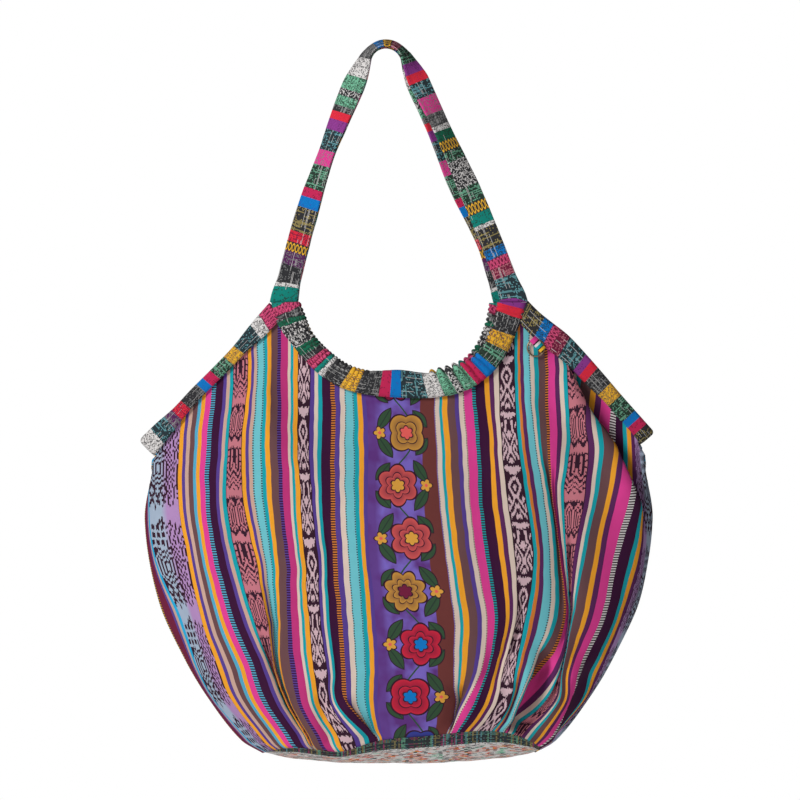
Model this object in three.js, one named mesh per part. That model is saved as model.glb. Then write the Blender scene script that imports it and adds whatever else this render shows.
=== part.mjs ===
// Slouchy shoulder bag of striped, ikat-woven cotton, as it hangs by its two straps.
// Two gathered body panels meet at the sides and are sewn to a boat-shaped base. The mouth is scooped and bound
// with a ruched band, the shoulders are bound from front to back, and the straps carry on from the mouth binding.
// Millimetres, +Z up, the front faces -Y. The origin is the hanging point, under the top of the straps.
import * as THREE from "three";

// Driving dimensions
const CLOTH = 1.6; // thickness of the body cloth
const BINDING_CLOTH = 1.4; // thickness of one layer of binding
const CLEARANCE = 0.3; // between pieces that are sewn together
const BODY_X = 12; // the body hangs this far to the right of the hanging point
const ARCH_INNER_RADIUS = 12.8; // bend of the straps at the hanging point

const CORNER_Z = -239; // level of the corners where the straps begin
const SCOOP_HALF_WIDTH = 92; // upper edge of the mouth binding
const SCOOP_DEPTH = 65;
const SCOOP_ROUNDNESS = 2.3;
const MOUTH_BINDING_WIDTH = 24; // at the bottom of the scoop
const MOUTH_BINDING_END_WIDTH = 28; // at the corners, where the straps begin
const MOUTH_RIB_HEIGHT = 1.1; // ruching of the mouth binding

const SHOULDER_IN = 120.6; // upper edge of the shoulder binding, where it starts beside the strap
const SHOULDER_OUT = 239; // and where it turns over to the back
const SHOULDER_OUT_Z = -365;
const SHOULDER_BINDING_WIDTH = 20;
const SHOULDER_TURN_RADIUS = 4;
const BINDING_LAP = 11; // a body panel's edge lies this far below the fold of its binding
const BINDING_ROOM = 3; // free room above that edge inside the binding

const STRAP_WIDTH = 21;
const STRAP_THICKNESS = 4.4;
// Middle of each strap's ends, from the middle of the body. The back strap's right end is set further in.
const STRAP_FEET = [
  { strap: "front", left: -108.5, right: 109 },
  { strap: "back", left: -108.5, right: 103 },
];

const SEAM_TIP_Z = -664; // seam between body and base, at its two tips
const SEAM_RISE = 18; // and how much higher it is in the middle
const BASE_SAG = 27; // how far the base hangs below the seam in the middle
const BASE_TIP_SHARE = 0.97; // the base panel stops just short of the seam's tips

const RING_RADIUS = 8; // middle of the ring's wire
const RING_WIRE = 1.3;
const RING_ALONG = 0.2; // place along the right shoulder binding, as a share of its length
const LOOP_WIDTH = 10;
const LOOP_REACH = 7.5; // how far the ring's cloth loop stands out from the binding

// Mesh steps
const PANEL_COLUMNS = 52;
const PANEL_ROWS = 13;
const BASE_COLUMNS = 30;
const BASE_ROWS = 6;
const MOUTH_STATIONS = 44;
const SHOULDER_STATIONS = 11;
const SHOULDER_TURN_STATIONS = 6;
const LEG_STEPS = 8;
const ARCH_STEPS = 14;

// The body's outline, a row for each level
const BODY_SECTIONS = [
  { z: -664, halfWidth: 129, halfDepth: 50 },
  { z: -652, halfWidth: 149, halfDepth: 57 },
  { z: -614, halfWidth: 179, halfDepth: 68 },
  { z: -576, halfWidth: 202, halfDepth: 73 },
  { z: -520, halfWidth: 227, halfDepth: 72 },
  { z: -444, halfWidth: 240, halfDepth: 61 },
  { z: -387, halfWidth: 232, halfDepth: 45 },
  { z: -365, halfWidth: 239, halfDepth: 40 },
  { z: -300, halfWidth: 239, halfDepth: 28 },
  { z: -239, halfWidth: 239, halfDepth: 20 },
];

// Pleats and creases of each panel: a groove from a foot to a head, measured from the middle of the body.
const FRONT_CREASES = [
  { footX: -18, footZ: -656, headX: -46, headZ: -604, depth: 8, width: 8 },
  { footX: 45, footZ: -652, headX: 57, headZ: -590, depth: 9, width: 8 },
  { footX: -84, footZ: -657, headX: -121, headZ: -556, depth: 7, width: 9 },
  { footX: -60, footZ: -660, headX: -76, headZ: -600, depth: 5, width: 7 },
  { footX: -106, footZ: -657, headX: -158, headZ: -565, depth: 5, width: 9 },
  { footX: 84, footZ: -654, headX: 110, headZ: -596, depth: 7, width: 8 },
  { footX: 104, footZ: -648, headX: 158, headZ: -560, depth: 9, width: 9 },
  { footX: 158, footZ: -560, headX: 150, headZ: -372, depth: 7, width: 13 },
  { footX: 128, footZ: -656, headX: 188, headZ: -565, depth: 9, width: 10 },
  { footX: 236, footZ: -408, headX: 178, headZ: -318, depth: 8, width: 11 },
];
const BACK_CREASES = [
  { footX: 20, footZ: -655, headX: 44, headZ: -600, depth: 8, width: 8 },
  { footX: -40, footZ: -654, headX: -56, headZ: -595, depth: 8, width: 8 },
  { footX: 70, footZ: -656, headX: 104, headZ: -566, depth: 7, width: 9 },
  { footX: -86, footZ: -655, headX: -124, headZ: -560, depth: 8, width: 9 },
  { footX: 108, footZ: -656, headX: 160, headZ: -560, depth: 7, width: 9 },
  { footX: -124, footZ: -655, headX: -178, headZ: -565, depth: 8, width: 10 },
  { footX: -170, footZ: -520, headX: -150, headZ: -390, depth: 6, width: 14 },
];

const FRONT = -1;
const BACK = 1;

// Small mathematics
const mix = (from, to, share) => from + (to - from) * share;
const clamp01 = (value) => Math.min(1, Math.max(0, value));
const smooth = (value) => {
  const t = clamp01(value);
  return t * t * (3 - 2 * t);
};
const bell = (value) => Math.exp(-value * value);

// A column of the section table at a height, on a smooth curve through the rows.
function sectionAt(z, column) {
  const rows = BODY_SECTIONS;
  const last = rows.length - 1;
  if (z <= rows[0].z) return rows[0][column];
  if (z >= rows[last].z) return rows[last][column];
  const i = rows.findIndex((row) => row.z > z) - 1;
  const slope = (k) => {
    const low = rows[Math.max(k - 1, 0)];
    const high = rows[Math.min(k + 1, last)];
    return (high[column] - low[column]) / (high.z - low.z);
  };
  const span = rows[i + 1].z - rows[i].z;
  const t = (z - rows[i].z) / span;
  const rise = smooth(t);
  const start = t * (1 - t) * (1 - t) * span * slope(i);
  const end = t * t * (t - 1) * span * slope(i + 1);
  return mix(rows[i][column], rows[i + 1][column], rise) + start + end;
}

// The scoop of the mouth at a distance down into the cloth from its bound edge.
const scoopHalfWidth = (down) => SCOOP_HALF_WIDTH + (down * MOUTH_BINDING_END_WIDTH) / MOUTH_BINDING_WIDTH;
function scoopZ(x, down) {
  const share = Math.min(1, Math.abs(x) / scoopHalfWidth(down));
  return CORNER_Z - (SCOOP_DEPTH + down) * (1 - share ** SCOOP_ROUNDNESS) ** (1 / SCOOP_ROUNDNESS);
}

// The shoulder's slope, and its height at a distance down into the cloth from its bound edge.
const shoulderRun = SHOULDER_OUT - SHOULDER_IN;
const shoulderFall = CORNER_Z - SHOULDER_OUT_Z;
const shoulderLength = Math.hypot(shoulderRun, shoulderFall);
const SHOULDER_DOWN = { x: -shoulderFall / shoulderLength, z: -shoulderRun / shoulderLength };
function shoulderZ(x, down) {
  const drop = (down * shoulderLength) / shoulderRun;
  return CORNER_Z - drop - ((Math.abs(x) - SHOULDER_IN) * shoulderFall) / shoulderRun;
}

// The top edge of a body panel, hidden in the bindings. Near the side it drops clear of the binding's turn.
const TIP_DROP = 12;
const TIP_RUN = 21;
const TIP_EASE = 12;
function clothEdgeZ(x) {
  const apexZ = CORNER_Z - BINDING_LAP;
  if (Math.abs(x) < scoopHalfWidth(BINDING_LAP)) return Math.min(apexZ, scoopZ(x, BINDING_LAP));
  const tipDrop = TIP_DROP * smooth((Math.abs(x) - SHOULDER_OUT + TIP_RUN) / TIP_EASE);
  return Math.min(apexZ, shoulderZ(x, BINDING_LAP)) - tipDrop;
}

// The level below which a panel is free of its bindings and swells.
const EDGE_FLAT = 24; // the bound edge stays flat for at least this far down
function flatEndZ(x) {
  return Math.min(clothEdgeZ(x) - EDGE_FLAT, scoopZ(x, MOUTH_BINDING_WIDTH + BINDING_ROOM));
}

// How far the bound edge stands in front of the middle of the bag.
const EDGE_DEPTH_MIDDLE = 23.5;
const EDGE_DEPTH_CORNER = 18;
const CORNER_X = SCOOP_HALF_WIDTH + MOUTH_BINDING_END_WIDTH / 2;
function edgeDepth(x) {
  const away = Math.abs(x);
  if (away < CORNER_X) return mix(EDGE_DEPTH_MIDDLE, EDGE_DEPTH_CORNER, (away / CORNER_X) ** 2);
  const share = (away - CORNER_X) / (SHOULDER_OUT - CORNER_X);
  return mix(EDGE_DEPTH_CORNER, SHOULDER_TURN_RADIUS, Math.min(1, share));
}

// How deep the creases press into a panel at a place.
function creaseDepth(x, z, creases) {
  const CREASE_FADE = 0.3; // share of a crease over which each end dies away
  let depth = 0;
  for (const crease of creases) {
    const alongX = crease.headX - crease.footX;
    const alongZ = crease.headZ - crease.footZ;
    const length = Math.hypot(alongX, alongZ);
    const along = ((x - crease.footX) * alongX + (z - crease.footZ) * alongZ) / length;
    const across = ((x - crease.footX) * alongZ - (z - crease.footZ) * alongX) / length;
    const ends = smooth(along / (CREASE_FADE * length)) * smooth((length - along) / (CREASE_FADE * length));
    depth += crease.depth * ends * bell(across / crease.width);
  }
  return depth;
}

// The middle of a panel's cloth. Across runs from -1 at the left side seam to 1 at the right one.
const EDGE_EASE = 100; // height over which the flat bound edge swells into the belly
const SIDE_EASE = 14; // and over which it closes to the side seam at the sides
const BELLY_FULLNESS = 2.4;
const SIDE_SEAM_HALF_GAP = 0.5;
function panelPoint(across, z, side, creases) {
  const x = across * sectionAt(z, "halfWidth");
  const edgeX = across * SHOULDER_OUT;
  const below = flatEndZ(edgeX) - z;
  const round = Math.sqrt(1 - Math.min(1, Math.abs(across)) ** BELLY_FULLNESS);
  const belly = sectionAt(z, "halfDepth") * round;
  const swell = smooth(below / mix(EDGE_EASE, SIDE_EASE, across ** 8));
  const creased = creaseDepth(x, z, creases) * smooth(below / BINDING_LAP) * round;
  const depth = mix(edgeDepth(x), belly, swell) - creased;
  return new THREE.Vector3(BODY_X + x, side * Math.max(SIDE_SEAM_HALF_GAP, depth), z);
}

const seamZ = (across) => SEAM_TIP_Z + SEAM_RISE * (1 - across * across);

// A geometry from rings of points: each ring is joined to the next, and the two end rings are capped.
function loftRings(rings, closed = false) {
  const points = rings.flat();
  const size = rings[0].length;
  const faces = [];
  const steps = closed ? rings.length : rings.length - 1;
  for (let i = 0; i < steps; i += 1) {
    const next = (i + 1) % rings.length;
    for (let j = 0; j < size; j += 1) {
      const k = (j + 1) % size;
      faces.push([i * size + j, next * size + j, next * size + k]);
      faces.push([i * size + j, next * size + k, i * size + k]);
    }
  }
  if (!closed) {
    const start = (rings.length - 1) * size;
    const outline = flatOutline(rings[0]);
    for (const [a, b, c] of THREE.ShapeUtils.triangulateShape(outline, [])) faces.push([a, b, c]);
    const ending = flatOutline(rings[rings.length - 1]);
    for (const [a, b, c] of THREE.ShapeUtils.triangulateShape(ending, [])) {
      faces.push([start + a, start + c, start + b]);
    }
  }
  return geometryFrom(points, faces);
}

// A ring's points in its own plane, so that it can be capped.
function flatOutline(ring) {
  const middle = ring.reduce((sum, p) => sum.add(p), new THREE.Vector3()).divideScalar(ring.length);
  const normal = new THREE.Vector3();
  ring.forEach((p, i) => {
    const q = ring[(i + 1) % ring.length];
    normal.add(p.clone().sub(middle).cross(q.clone().sub(middle)));
  });
  normal.normalize();
  const right = ring[0].clone().sub(middle).projectOnPlane(normal).normalize();
  const up = normal.clone().cross(right);
  return ring.map((p) => {
    const offset = p.clone().sub(middle);
    return new THREE.Vector2(offset.dot(right), offset.dot(up));
  });
}

// A closed geometry from points and triangles, turned so that its faces point out.
function geometryFrom(points, faces) {
  let volume = 0;
  for (const [a, b, c] of faces) volume += points[a].dot(points[b].clone().cross(points[c]));
  const outward = volume < 0 ? faces.map(([a, b, c]) => [a, c, b]) : faces;
  const geometry = new THREE.BufferGeometry().setFromPoints(points);
  geometry.setIndex(outward.flat());
  geometry.computeVertexNormals();
  return geometry;
}

// A wall of cloth around a grid of points in the middle of its thickness.
function clothWall(grid, thickness) {
  const rows = grid.length;
  const columns = grid[0].length;
  const outer = [];
  const inner = [];
  for (let i = 0; i < rows; i += 1) {
    for (let j = 0; j < columns; j += 1) {
      const up = grid[Math.min(i + 1, rows - 1)][j].clone().sub(grid[Math.max(i - 1, 0)][j]);
      const right = grid[i][Math.min(j + 1, columns - 1)].clone().sub(grid[i][Math.max(j - 1, 0)]);
      const normal = right.cross(up).normalize();
      outer.push(grid[i][j].clone().addScaledVector(normal, thickness / 2));
      inner.push(grid[i][j].clone().addScaledVector(normal, -thickness / 2));
    }
  }
  const at = (i, j) => i * columns + j;
  const far = rows * columns;
  const faces = [];
  const quad = (a, b, c, d) => faces.push([a, b, c], [a, c, d]);
  for (let i = 0; i + 1 < rows; i += 1) {
    for (let j = 0; j + 1 < columns; j += 1) {
      quad(at(i, j), at(i, j + 1), at(i + 1, j + 1), at(i + 1, j));
      quad(far + at(i, j), far + at(i + 1, j), far + at(i + 1, j + 1), far + at(i, j + 1));
    }
  }
  const rim = [];
  for (let j = 0; j + 1 < columns; j += 1) rim.push(at(0, j));
  for (let i = 0; i + 1 < rows; i += 1) rim.push(at(i, columns - 1));
  for (let j = columns - 1; j > 0; j -= 1) rim.push(at(rows - 1, j));
  for (let i = rows - 1; i > 0; i -= 1) rim.push(at(i, 0));
  rim.forEach((a, k) => {
    const b = rim[(k + 1) % rim.length];
    quad(a, far + a, far + b, b);
  });
  return geometryFrom([...outer, ...inner], faces);
}

// One body panel, gathered along the base seam and cut to the scoop and shoulders at the top.
function bodyPanel(side, creases) {
  const grid = [];
  for (let i = 0; i <= PANEL_ROWS; i += 1) {
    const row = [];
    for (let j = 0; j <= PANEL_COLUMNS; j += 1) {
      const share = (2 * j) / PANEL_COLUMNS - 1;
      const across = mix(share, Math.sin((share * Math.PI) / 2), 0.5);
      const edgeX = across * SHOULDER_OUT;
      const free = mix(seamZ(across), flatEndZ(edgeX), i / (PANEL_ROWS - 1));
      const z = i === PANEL_ROWS ? clothEdgeZ(edgeX) : free;
      row.push(panelPoint(across, z, side, creases));
    }
    grid.push(side === FRONT ? row : row.reverse());
  }
  return clothWall(grid, CLOTH);
}

// The boat-shaped base: a hammock of cloth between the front seam and the back seam.
function basePanel() {
  const SEAM_DROP = 1.3; // the base starts just below the panels
  const grid = [];
  for (let i = 0; i <= BASE_ROWS; i += 1) {
    const row = [];
    const share = (2 * i) / BASE_ROWS - 1;
    for (let j = 0; j <= BASE_COLUMNS; j += 1) {
      const across = Math.sin(((2 * j) / BASE_COLUMNS - 1) * (Math.PI / 2)) * BASE_TIP_SHARE;
      const seam = panelPoint(across, seamZ(across), BACK, []);
      const sag = BASE_SAG * (1 - across * across) * (1 - share * share);
      row.push(new THREE.Vector3(seam.x, share * seam.y, seam.z - SEAM_DROP - sag));
    }
    grid.push(row);
  }
  return clothWall(grid, CLOTH);
}

// A binding folded over a cloth edge: a narrow channel that holds the cloth between its two walls.
// Share is the way down from the fold, height the distance from the middle of the cloth.
const slotHalf = CLOTH / 2 + CLEARANCE;
const bindingHalf = slotHalf + BINDING_CLOTH;
function bindingSection(width, swell) {
  const lap = (BINDING_LAP - BINDING_ROOM) / width;
  const lip = 1.5 / width;
  return [
    { share: -lip, height: bindingHalf * 0.4 },
    { share: lip, height: bindingHalf + swell },
    { share: 0.5, height: bindingHalf + swell },
    { share: 1, height: bindingHalf },
    { share: 1, height: slotHalf },
    { share: lap, height: slotHalf },
    { share: lap, height: -slotHalf },
    { share: 1, height: -slotHalf },
    { share: 1, height: -bindingHalf },
    { share: 0.5, height: -bindingHalf - swell },
    { share: lip, height: -bindingHalf - swell },
    { share: -lip, height: -bindingHalf * 0.4 },
  ];
}

// The normal of the bound edge, which bends only about vertical lines.
function edgeNormal(x, side) {
  const reach = 0.5;
  const slope = (edgeDepth(x + reach) - edgeDepth(x - reach)) / (2 * reach);
  return new THREE.Vector3(-slope * side, 1, 0).normalize().multiplyScalar(side);
}

// The ruched binding round the scoop of the mouth.
function mouthBinding(side) {
  const rings = [];
  for (let i = 0; i <= MOUTH_STATIONS; i += 1) {
    const angle = Math.PI * (i / MOUTH_STATIONS);
    const power = 2 / SCOOP_ROUNDNESS;
    const acrossShare = -Math.sign(Math.cos(angle)) * Math.abs(Math.cos(angle)) ** power;
    const downShare = Math.sin(angle) ** power;
    const edge = { x: acrossShare * SCOOP_HALF_WIDTH, z: CORNER_Z - downShare * SCOOP_DEPTH };
    const far = {
      x: acrossShare * scoopHalfWidth(MOUTH_BINDING_WIDTH),
      z: CORNER_Z - downShare * (SCOOP_DEPTH + MOUTH_BINDING_WIDTH),
    };
    const rib = i % 2 === 0 || i < 2 || i > MOUTH_STATIONS - 2 ? 0 : MOUTH_RIB_HEIGHT;
    const ring = bindingSection(MOUTH_BINDING_WIDTH, rib).map(({ share, height }) => {
      const x = mix(edge.x, far.x, share);
      const point = new THREE.Vector3(BODY_X + x, side * edgeDepth(x), mix(edge.z, far.z, share));
      return point.addScaledVector(edgeNormal(x, side), height);
    });
    rings.push(ring);
  }
  return loftRings(rings);
}

// The binding of one shoulder, from the front strap down to the side, over the turn and up to the back strap.
function shoulderBinding(hand) {
  const start = scoopHalfWidth(MOUTH_BINDING_WIDTH) + 2 * CLEARANCE;
  const width = SHOULDER_BINDING_WIDTH;
  const topAt = (share) => {
    const x = mix(start, SHOULDER_OUT, share);
    return { x, z: shoulderZ(x, 0) };
  };
  const lowAt = (share) => {
    const x = mix(start, SHOULDER_OUT + SHOULDER_DOWN.x * width, share);
    return { x, z: shoulderZ(x, width) };
  };
  const rings = [];
  const addRing = (share, side) => {
    const top = topAt(share);
    const low = lowAt(share);
    const ring = bindingSection(width, 0).map((corner) => {
      const x = mix(top.x, low.x, corner.share);
      const point = new THREE.Vector3(x, side * edgeDepth(x), mix(top.z, low.z, corner.share));
      point.addScaledVector(edgeNormal(x, side), corner.height);
      return new THREE.Vector3(BODY_X + hand * point.x, point.y, point.z);
    });
    rings.push(ring);
  };
  for (let i = 0; i <= SHOULDER_STATIONS; i += 1) addRing(i / SHOULDER_STATIONS, FRONT);
  const out = { x: -SHOULDER_DOWN.z, z: SHOULDER_DOWN.x };
  for (let i = 1; i < SHOULDER_TURN_STATIONS; i += 1) {
    const angle = Math.PI * (i / SHOULDER_TURN_STATIONS);
    const normal = new THREE.Vector3(out.x * Math.sin(angle), -Math.cos(angle), out.z * Math.sin(angle));
    const top = topAt(1);
    const low = lowAt(1);
    const ring = bindingSection(width, 0).map((corner) => {
      const point = new THREE.Vector3(mix(top.x, low.x, corner.share), 0, mix(top.z, low.z, corner.share));
      point.addScaledVector(normal, SHOULDER_TURN_RADIUS + corner.height);
      return new THREE.Vector3(BODY_X + hand * point.x, point.y, point.z);
    });
    rings.push(ring);
  }
  for (let i = SHOULDER_STATIONS; i >= 0; i -= 1) addRing(i / SHOULDER_STATIONS, BACK);
  return loftRings(rings);
}

// A strap: two straight legs up from the mouth binding and an arch at the top, where the band lies over.
const ARCH_TILT = 1.25; // radians by which the band lies over at the top
const TILT_START_Z = -45; // the band begins to lie over at this height
const TILT_RISE = 50;
const STRAP_TOP_DEPTH = 11; // middle of the band at the top, in front of or behind the origin
const LEG_CROWD = 2; // the steps of a leg crowd towards the top
function strap(side) {
  const archZ = -ARCH_INNER_RADIUS;
  const halfWidth = STRAP_WIDTH / 2;
  const halfThick = STRAP_THICKNESS / 2;
  const tiltAt = (z) => ARCH_TILT * smooth((z - TILT_START_Z) / TILT_RISE);
  const archRadius = (tilt) =>
    ARCH_INNER_RADIUS + CLEARANCE + halfWidth * Math.cos(tilt) + halfThick * Math.sin(tilt);
  const tangentRadius = archRadius(tiltAt(archZ + ARCH_INNER_RADIUS / 2));
  // How far a leg leans from upright so that it runs straight from its foot to the side of the arch
  const feet = STRAP_FEET[side === FRONT ? 0 : 1];
  const footX = (hand) => BODY_X + (hand < 0 ? feet.left : feet.right);
  const leanOf = (hand) => {
    const away = Math.abs(footX(hand));
    const up = archZ - CORNER_Z;
    return Math.atan2(away, up) - Math.asin(tangentRadius / Math.hypot(away, up));
  };
  const leg = (hand) => {
    const lean = leanOf(hand);
    const foot = { x: footX(hand), z: CORNER_Z + CLEARANCE };
    const top = { x: hand * tangentRadius * Math.cos(lean), z: archZ + tangentRadius * Math.sin(lean) };
    const steps = [];
    for (let i = 0; i <= LEG_STEPS; i += 1) {
      const share = 1 - (1 - i / LEG_STEPS) ** LEG_CROWD;
      const turn = i === 0 ? 0 : lean; // the foot is cut level, to sit on the binding
      const z = mix(foot.z, top.z, share);
      steps.push({
        x: mix(foot.x, top.x, share),
        z,
        outX: hand * Math.cos(turn),
        outZ: Math.sin(turn),
        depth: mix(EDGE_DEPTH_CORNER, STRAP_TOP_DEPTH, share),
        tilt: tiltAt(z),
      });
    }
    return steps;
  };
  const arch = [];
  for (let i = 1; i < ARCH_STEPS; i += 1) {
    const angle = mix(Math.PI - leanOf(-1), leanOf(1), i / ARCH_STEPS);
    const tilt = tiltAt(archZ + tangentRadius * Math.sin(angle));
    const radius = archRadius(tilt);
    arch.push({
      x: radius * Math.cos(angle),
      z: archZ + radius * Math.sin(angle),
      outX: Math.cos(angle),
      outZ: Math.sin(angle),
      depth: STRAP_TOP_DEPTH,
      tilt,
    });
  }
  const edgeRound = 1.8;
  const section = [
    { out: -halfWidth, front: -halfThick * 0.45 },
    { out: -halfWidth + edgeRound, front: -halfThick },
    { out: halfWidth - edgeRound, front: -halfThick },
    { out: halfWidth, front: -halfThick * 0.45 },
    { out: halfWidth, front: halfThick * 0.45 },
    { out: halfWidth - edgeRound, front: halfThick },
    { out: -halfWidth + edgeRound, front: halfThick },
    { out: -halfWidth, front: halfThick * 0.45 },
  ];
  const rings = [...leg(-1), ...arch, ...leg(1).reverse()].map((station) => {
    const outward = new THREE.Vector3(station.outX, 0, station.outZ);
    const across = outward.clone().multiplyScalar(Math.cos(station.tilt));
    across.y = Math.sin(station.tilt);
    const normal = outward.clone().multiplyScalar(Math.sin(station.tilt));
    normal.y = -Math.cos(station.tilt);
    const middle = new THREE.Vector3(station.x, side * station.depth, station.z);
    return section.map(({ out, front }) =>
      middle.clone().addScaledVector(across, out).addScaledVector(normal, front));
  });
  return loftRings(rings);
}

// Where the ring hangs: beside the lower edge of the right shoulder binding, on the front.
function ringPlace() {
  const topX = mix(SHOULDER_IN, SHOULDER_OUT, RING_ALONG);
  const seat = new THREE.Vector3(
    topX + SHOULDER_DOWN.x * SHOULDER_BINDING_WIDTH,
    0,
    shoulderZ(topX, 0) + SHOULDER_DOWN.z * SHOULDER_BINDING_WIDTH,
  );
  const down = new THREE.Vector3(SHOULDER_DOWN.x, 0, SHOULDER_DOWN.z);
  const along = new THREE.Vector3(-SHOULDER_DOWN.z, 0, SHOULDER_DOWN.x);
  return { seat, down, along };
}

// A point near the ring: down from the binding's lower edge, along it, and forward from the cloth's face.
const LOOP_CLOTH = 1.2;
const LOOP_INSIDE = 2.2; // room for the wire between the loop's two layers
const loopFloor = CLOTH / 2 + 0.5; // the loop lies on the cloth below the binding
function nearRing(downward, sideways, forward) {
  const { seat, down, along } = ringPlace();
  const point = seat.clone().addScaledVector(down, downward).addScaledVector(along, sideways);
  return new THREE.Vector3(BODY_X + point.x, -edgeDepth(point.x) - forward, point.z);
}

// The cloth loop: a band folded round the ring's wire and sewn to the binding.
function ringLoop() {
  const back = loopFloor;
  const front = loopFloor + 2 * LOOP_CLOTH + LOOP_INSIDE;
  const root = CLEARANCE;
  const hollowStart = 1.6;
  const bend = 1.2;
  const outline = [
    [root, back], [LOOP_REACH - bend, back], [LOOP_REACH, back + bend], [LOOP_REACH, front - bend],
    [LOOP_REACH - bend, front], [root, front], [root, front - LOOP_CLOTH * 1.4],
  ];
  const hollow = [
    [hollowStart, front - LOOP_CLOTH], [LOOP_REACH - LOOP_CLOTH, front - LOOP_CLOTH],
    [LOOP_REACH - LOOP_CLOTH, back + LOOP_CLOTH], [hollowStart, back + LOOP_CLOTH],
  ];
  const shape = new THREE.Shape(outline.map(([u, v]) => new THREE.Vector2(u, v)));
  shape.holes.push(new THREE.Path(hollow.map(([u, v]) => new THREE.Vector2(u, v))));
  const geometry = new THREE.ExtrudeGeometry(shape, { depth: LOOP_WIDTH, bevelEnabled: false, steps: 4 });
  const place = geometry.attributes.position;
  for (let i = 0; i < place.count; i += 1) {
    const point = nearRing(place.getX(i), LOOP_WIDTH / 2 - place.getZ(i), place.getY(i));
    place.setXYZ(i, point.x, point.y, point.z);
  }
  geometry.deleteAttribute("normal");
  geometry.deleteAttribute("uv");
  return geometry;
}

// The metal ring, hanging in its loop.
function ring() {
  const RING_STEPS = 20;
  const WIRE_SIDES = 6;
  const middleForward = loopFloor + LOOP_CLOTH + LOOP_INSIDE / 2;
  const middleDown = RING_RADIUS + 2.6 + RING_WIRE / 2;
  const rings = [];
  for (let i = 0; i < RING_STEPS; i += 1) {
    const turn = (2 * Math.PI * i) / RING_STEPS;
    const section = [];
    for (let j = 0; j < WIRE_SIDES; j += 1) {
      const angle = (2 * Math.PI * j) / WIRE_SIDES;
      const radius = RING_RADIUS + (RING_WIRE / 2) * Math.cos(angle);
      const forward = middleForward + (RING_WIRE / 2) * Math.sin(angle);
      section.push(nearRing(middleDown - radius * Math.cos(turn), radius * Math.sin(turn), forward));
    }
    rings.push(section);
  }
  return loftRings(rings, true);
}

// Materials
const stripedCloth = new THREE.MeshStandardMaterial({ color: 0x8a4a74, roughness: 0.85, metalness: 0 });
const patchCloth = new THREE.MeshStandardMaterial({ color: 0x4c4a4d, roughness: 0.9, metalness: 0 });
const baseCloth = new THREE.MeshStandardMaterial({ color: 0x8f7f72, roughness: 0.95, metalness: 0 });
const loopCloth = new THREE.MeshStandardMaterial({ color: 0xd0468c, roughness: 0.85, metalness: 0 });
const ringMetal = new THREE.MeshStandardMaterial({ color: 0xa89a84, roughness: 0.35, metalness: 1 });

const bag = new THREE.Group();
function add(name, geometry, material) {
  const mesh = new THREE.Mesh(geometry, material);
  mesh.name = name;
  bag.add(mesh);
}

add("front_panel", bodyPanel(FRONT, FRONT_CREASES), stripedCloth);
add("back_panel", bodyPanel(BACK, BACK_CREASES), stripedCloth);
add("base_panel", basePanel(), baseCloth);
add("mouth_binding_front", mouthBinding(FRONT), patchCloth);
add("mouth_binding_back", mouthBinding(BACK), patchCloth);
add("shoulder_binding_left", shoulderBinding(-1), patchCloth);
add("shoulder_binding_right", shoulderBinding(1), patchCloth);
add("strap_front", strap(FRONT), patchCloth);
add("strap_back", strap(BACK), patchCloth);
add("ring_loop", ringLoop(), loopCloth);
add("ring", ring(), ringMetal);

export default bag;
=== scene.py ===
"""Woven shoulder bag of striped ikat cloth, hanging by its two straps, dressed over its solids."""

import math
from bisect import bisect_right
from itertools import accumulate, groupby

import bpy
from mathutils import Matrix, Vector, noise


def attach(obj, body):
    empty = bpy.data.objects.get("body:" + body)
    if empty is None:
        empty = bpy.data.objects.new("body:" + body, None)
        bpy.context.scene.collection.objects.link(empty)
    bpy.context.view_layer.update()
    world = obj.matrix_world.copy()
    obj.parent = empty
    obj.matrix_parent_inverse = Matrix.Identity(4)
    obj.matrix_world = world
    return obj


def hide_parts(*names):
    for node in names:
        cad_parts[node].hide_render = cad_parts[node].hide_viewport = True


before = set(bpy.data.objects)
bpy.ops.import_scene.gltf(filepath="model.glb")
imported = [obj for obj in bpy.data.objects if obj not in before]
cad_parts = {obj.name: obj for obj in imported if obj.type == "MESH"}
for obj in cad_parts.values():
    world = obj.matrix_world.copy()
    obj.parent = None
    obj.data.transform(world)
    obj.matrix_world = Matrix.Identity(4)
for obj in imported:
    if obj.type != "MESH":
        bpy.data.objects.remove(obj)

bl_info = {
    "name": "Woven Shoulder Bag",
    "version": (1, 0, 0),
    "blender": (4, 5, 0),
    "location": "3D View > Sidebar > Bag",
    "description": "Makes the cloth, bindings, straps and ring of a gathered shoulder bag",
    "category": "Object",
}

# Shapes are worked out in millimetres, in the frame of the solids, and made in metres.
MM = 0.001
FRONT = -1
BACK = 1
FULL_TURN = 2 * math.pi

# The cut of the bag, as in the part's source
BODY_X = 12
CORNER_Z = -239
SCOOP_HALF_WIDTH = 92
SCOOP_DEPTH = 65
SCOOP_ROUNDNESS = 2.3
MOUTH_WIDTH = 24
MOUTH_END_WIDTH = 28
SHOULDER_IN = 120.6
SHOULDER_OUT = 239
SHOULDER_OUT_Z = -365
SHOULDER_WIDTH = 20
SHOULDER_TURN = 4
BINDING_LAP = 11
EDGE_FLAT = 12
EDGE_DEPTH_MIDDLE = 23.5
EDGE_DEPTH_CORNER = 18
SEAM_TIP_Z = -664
SEAM_RISE = 18
BASE_SAG = 27
ARCH_INNER = 12.8
ARCH_TILT = 1.25
STRAP_WIDTH = 21
STRAP_THICKNESS = 4.4
STRAP_TOP_DEPTH = 11
RING_RADIUS = 8
RING_ALONG = 0.2

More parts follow.
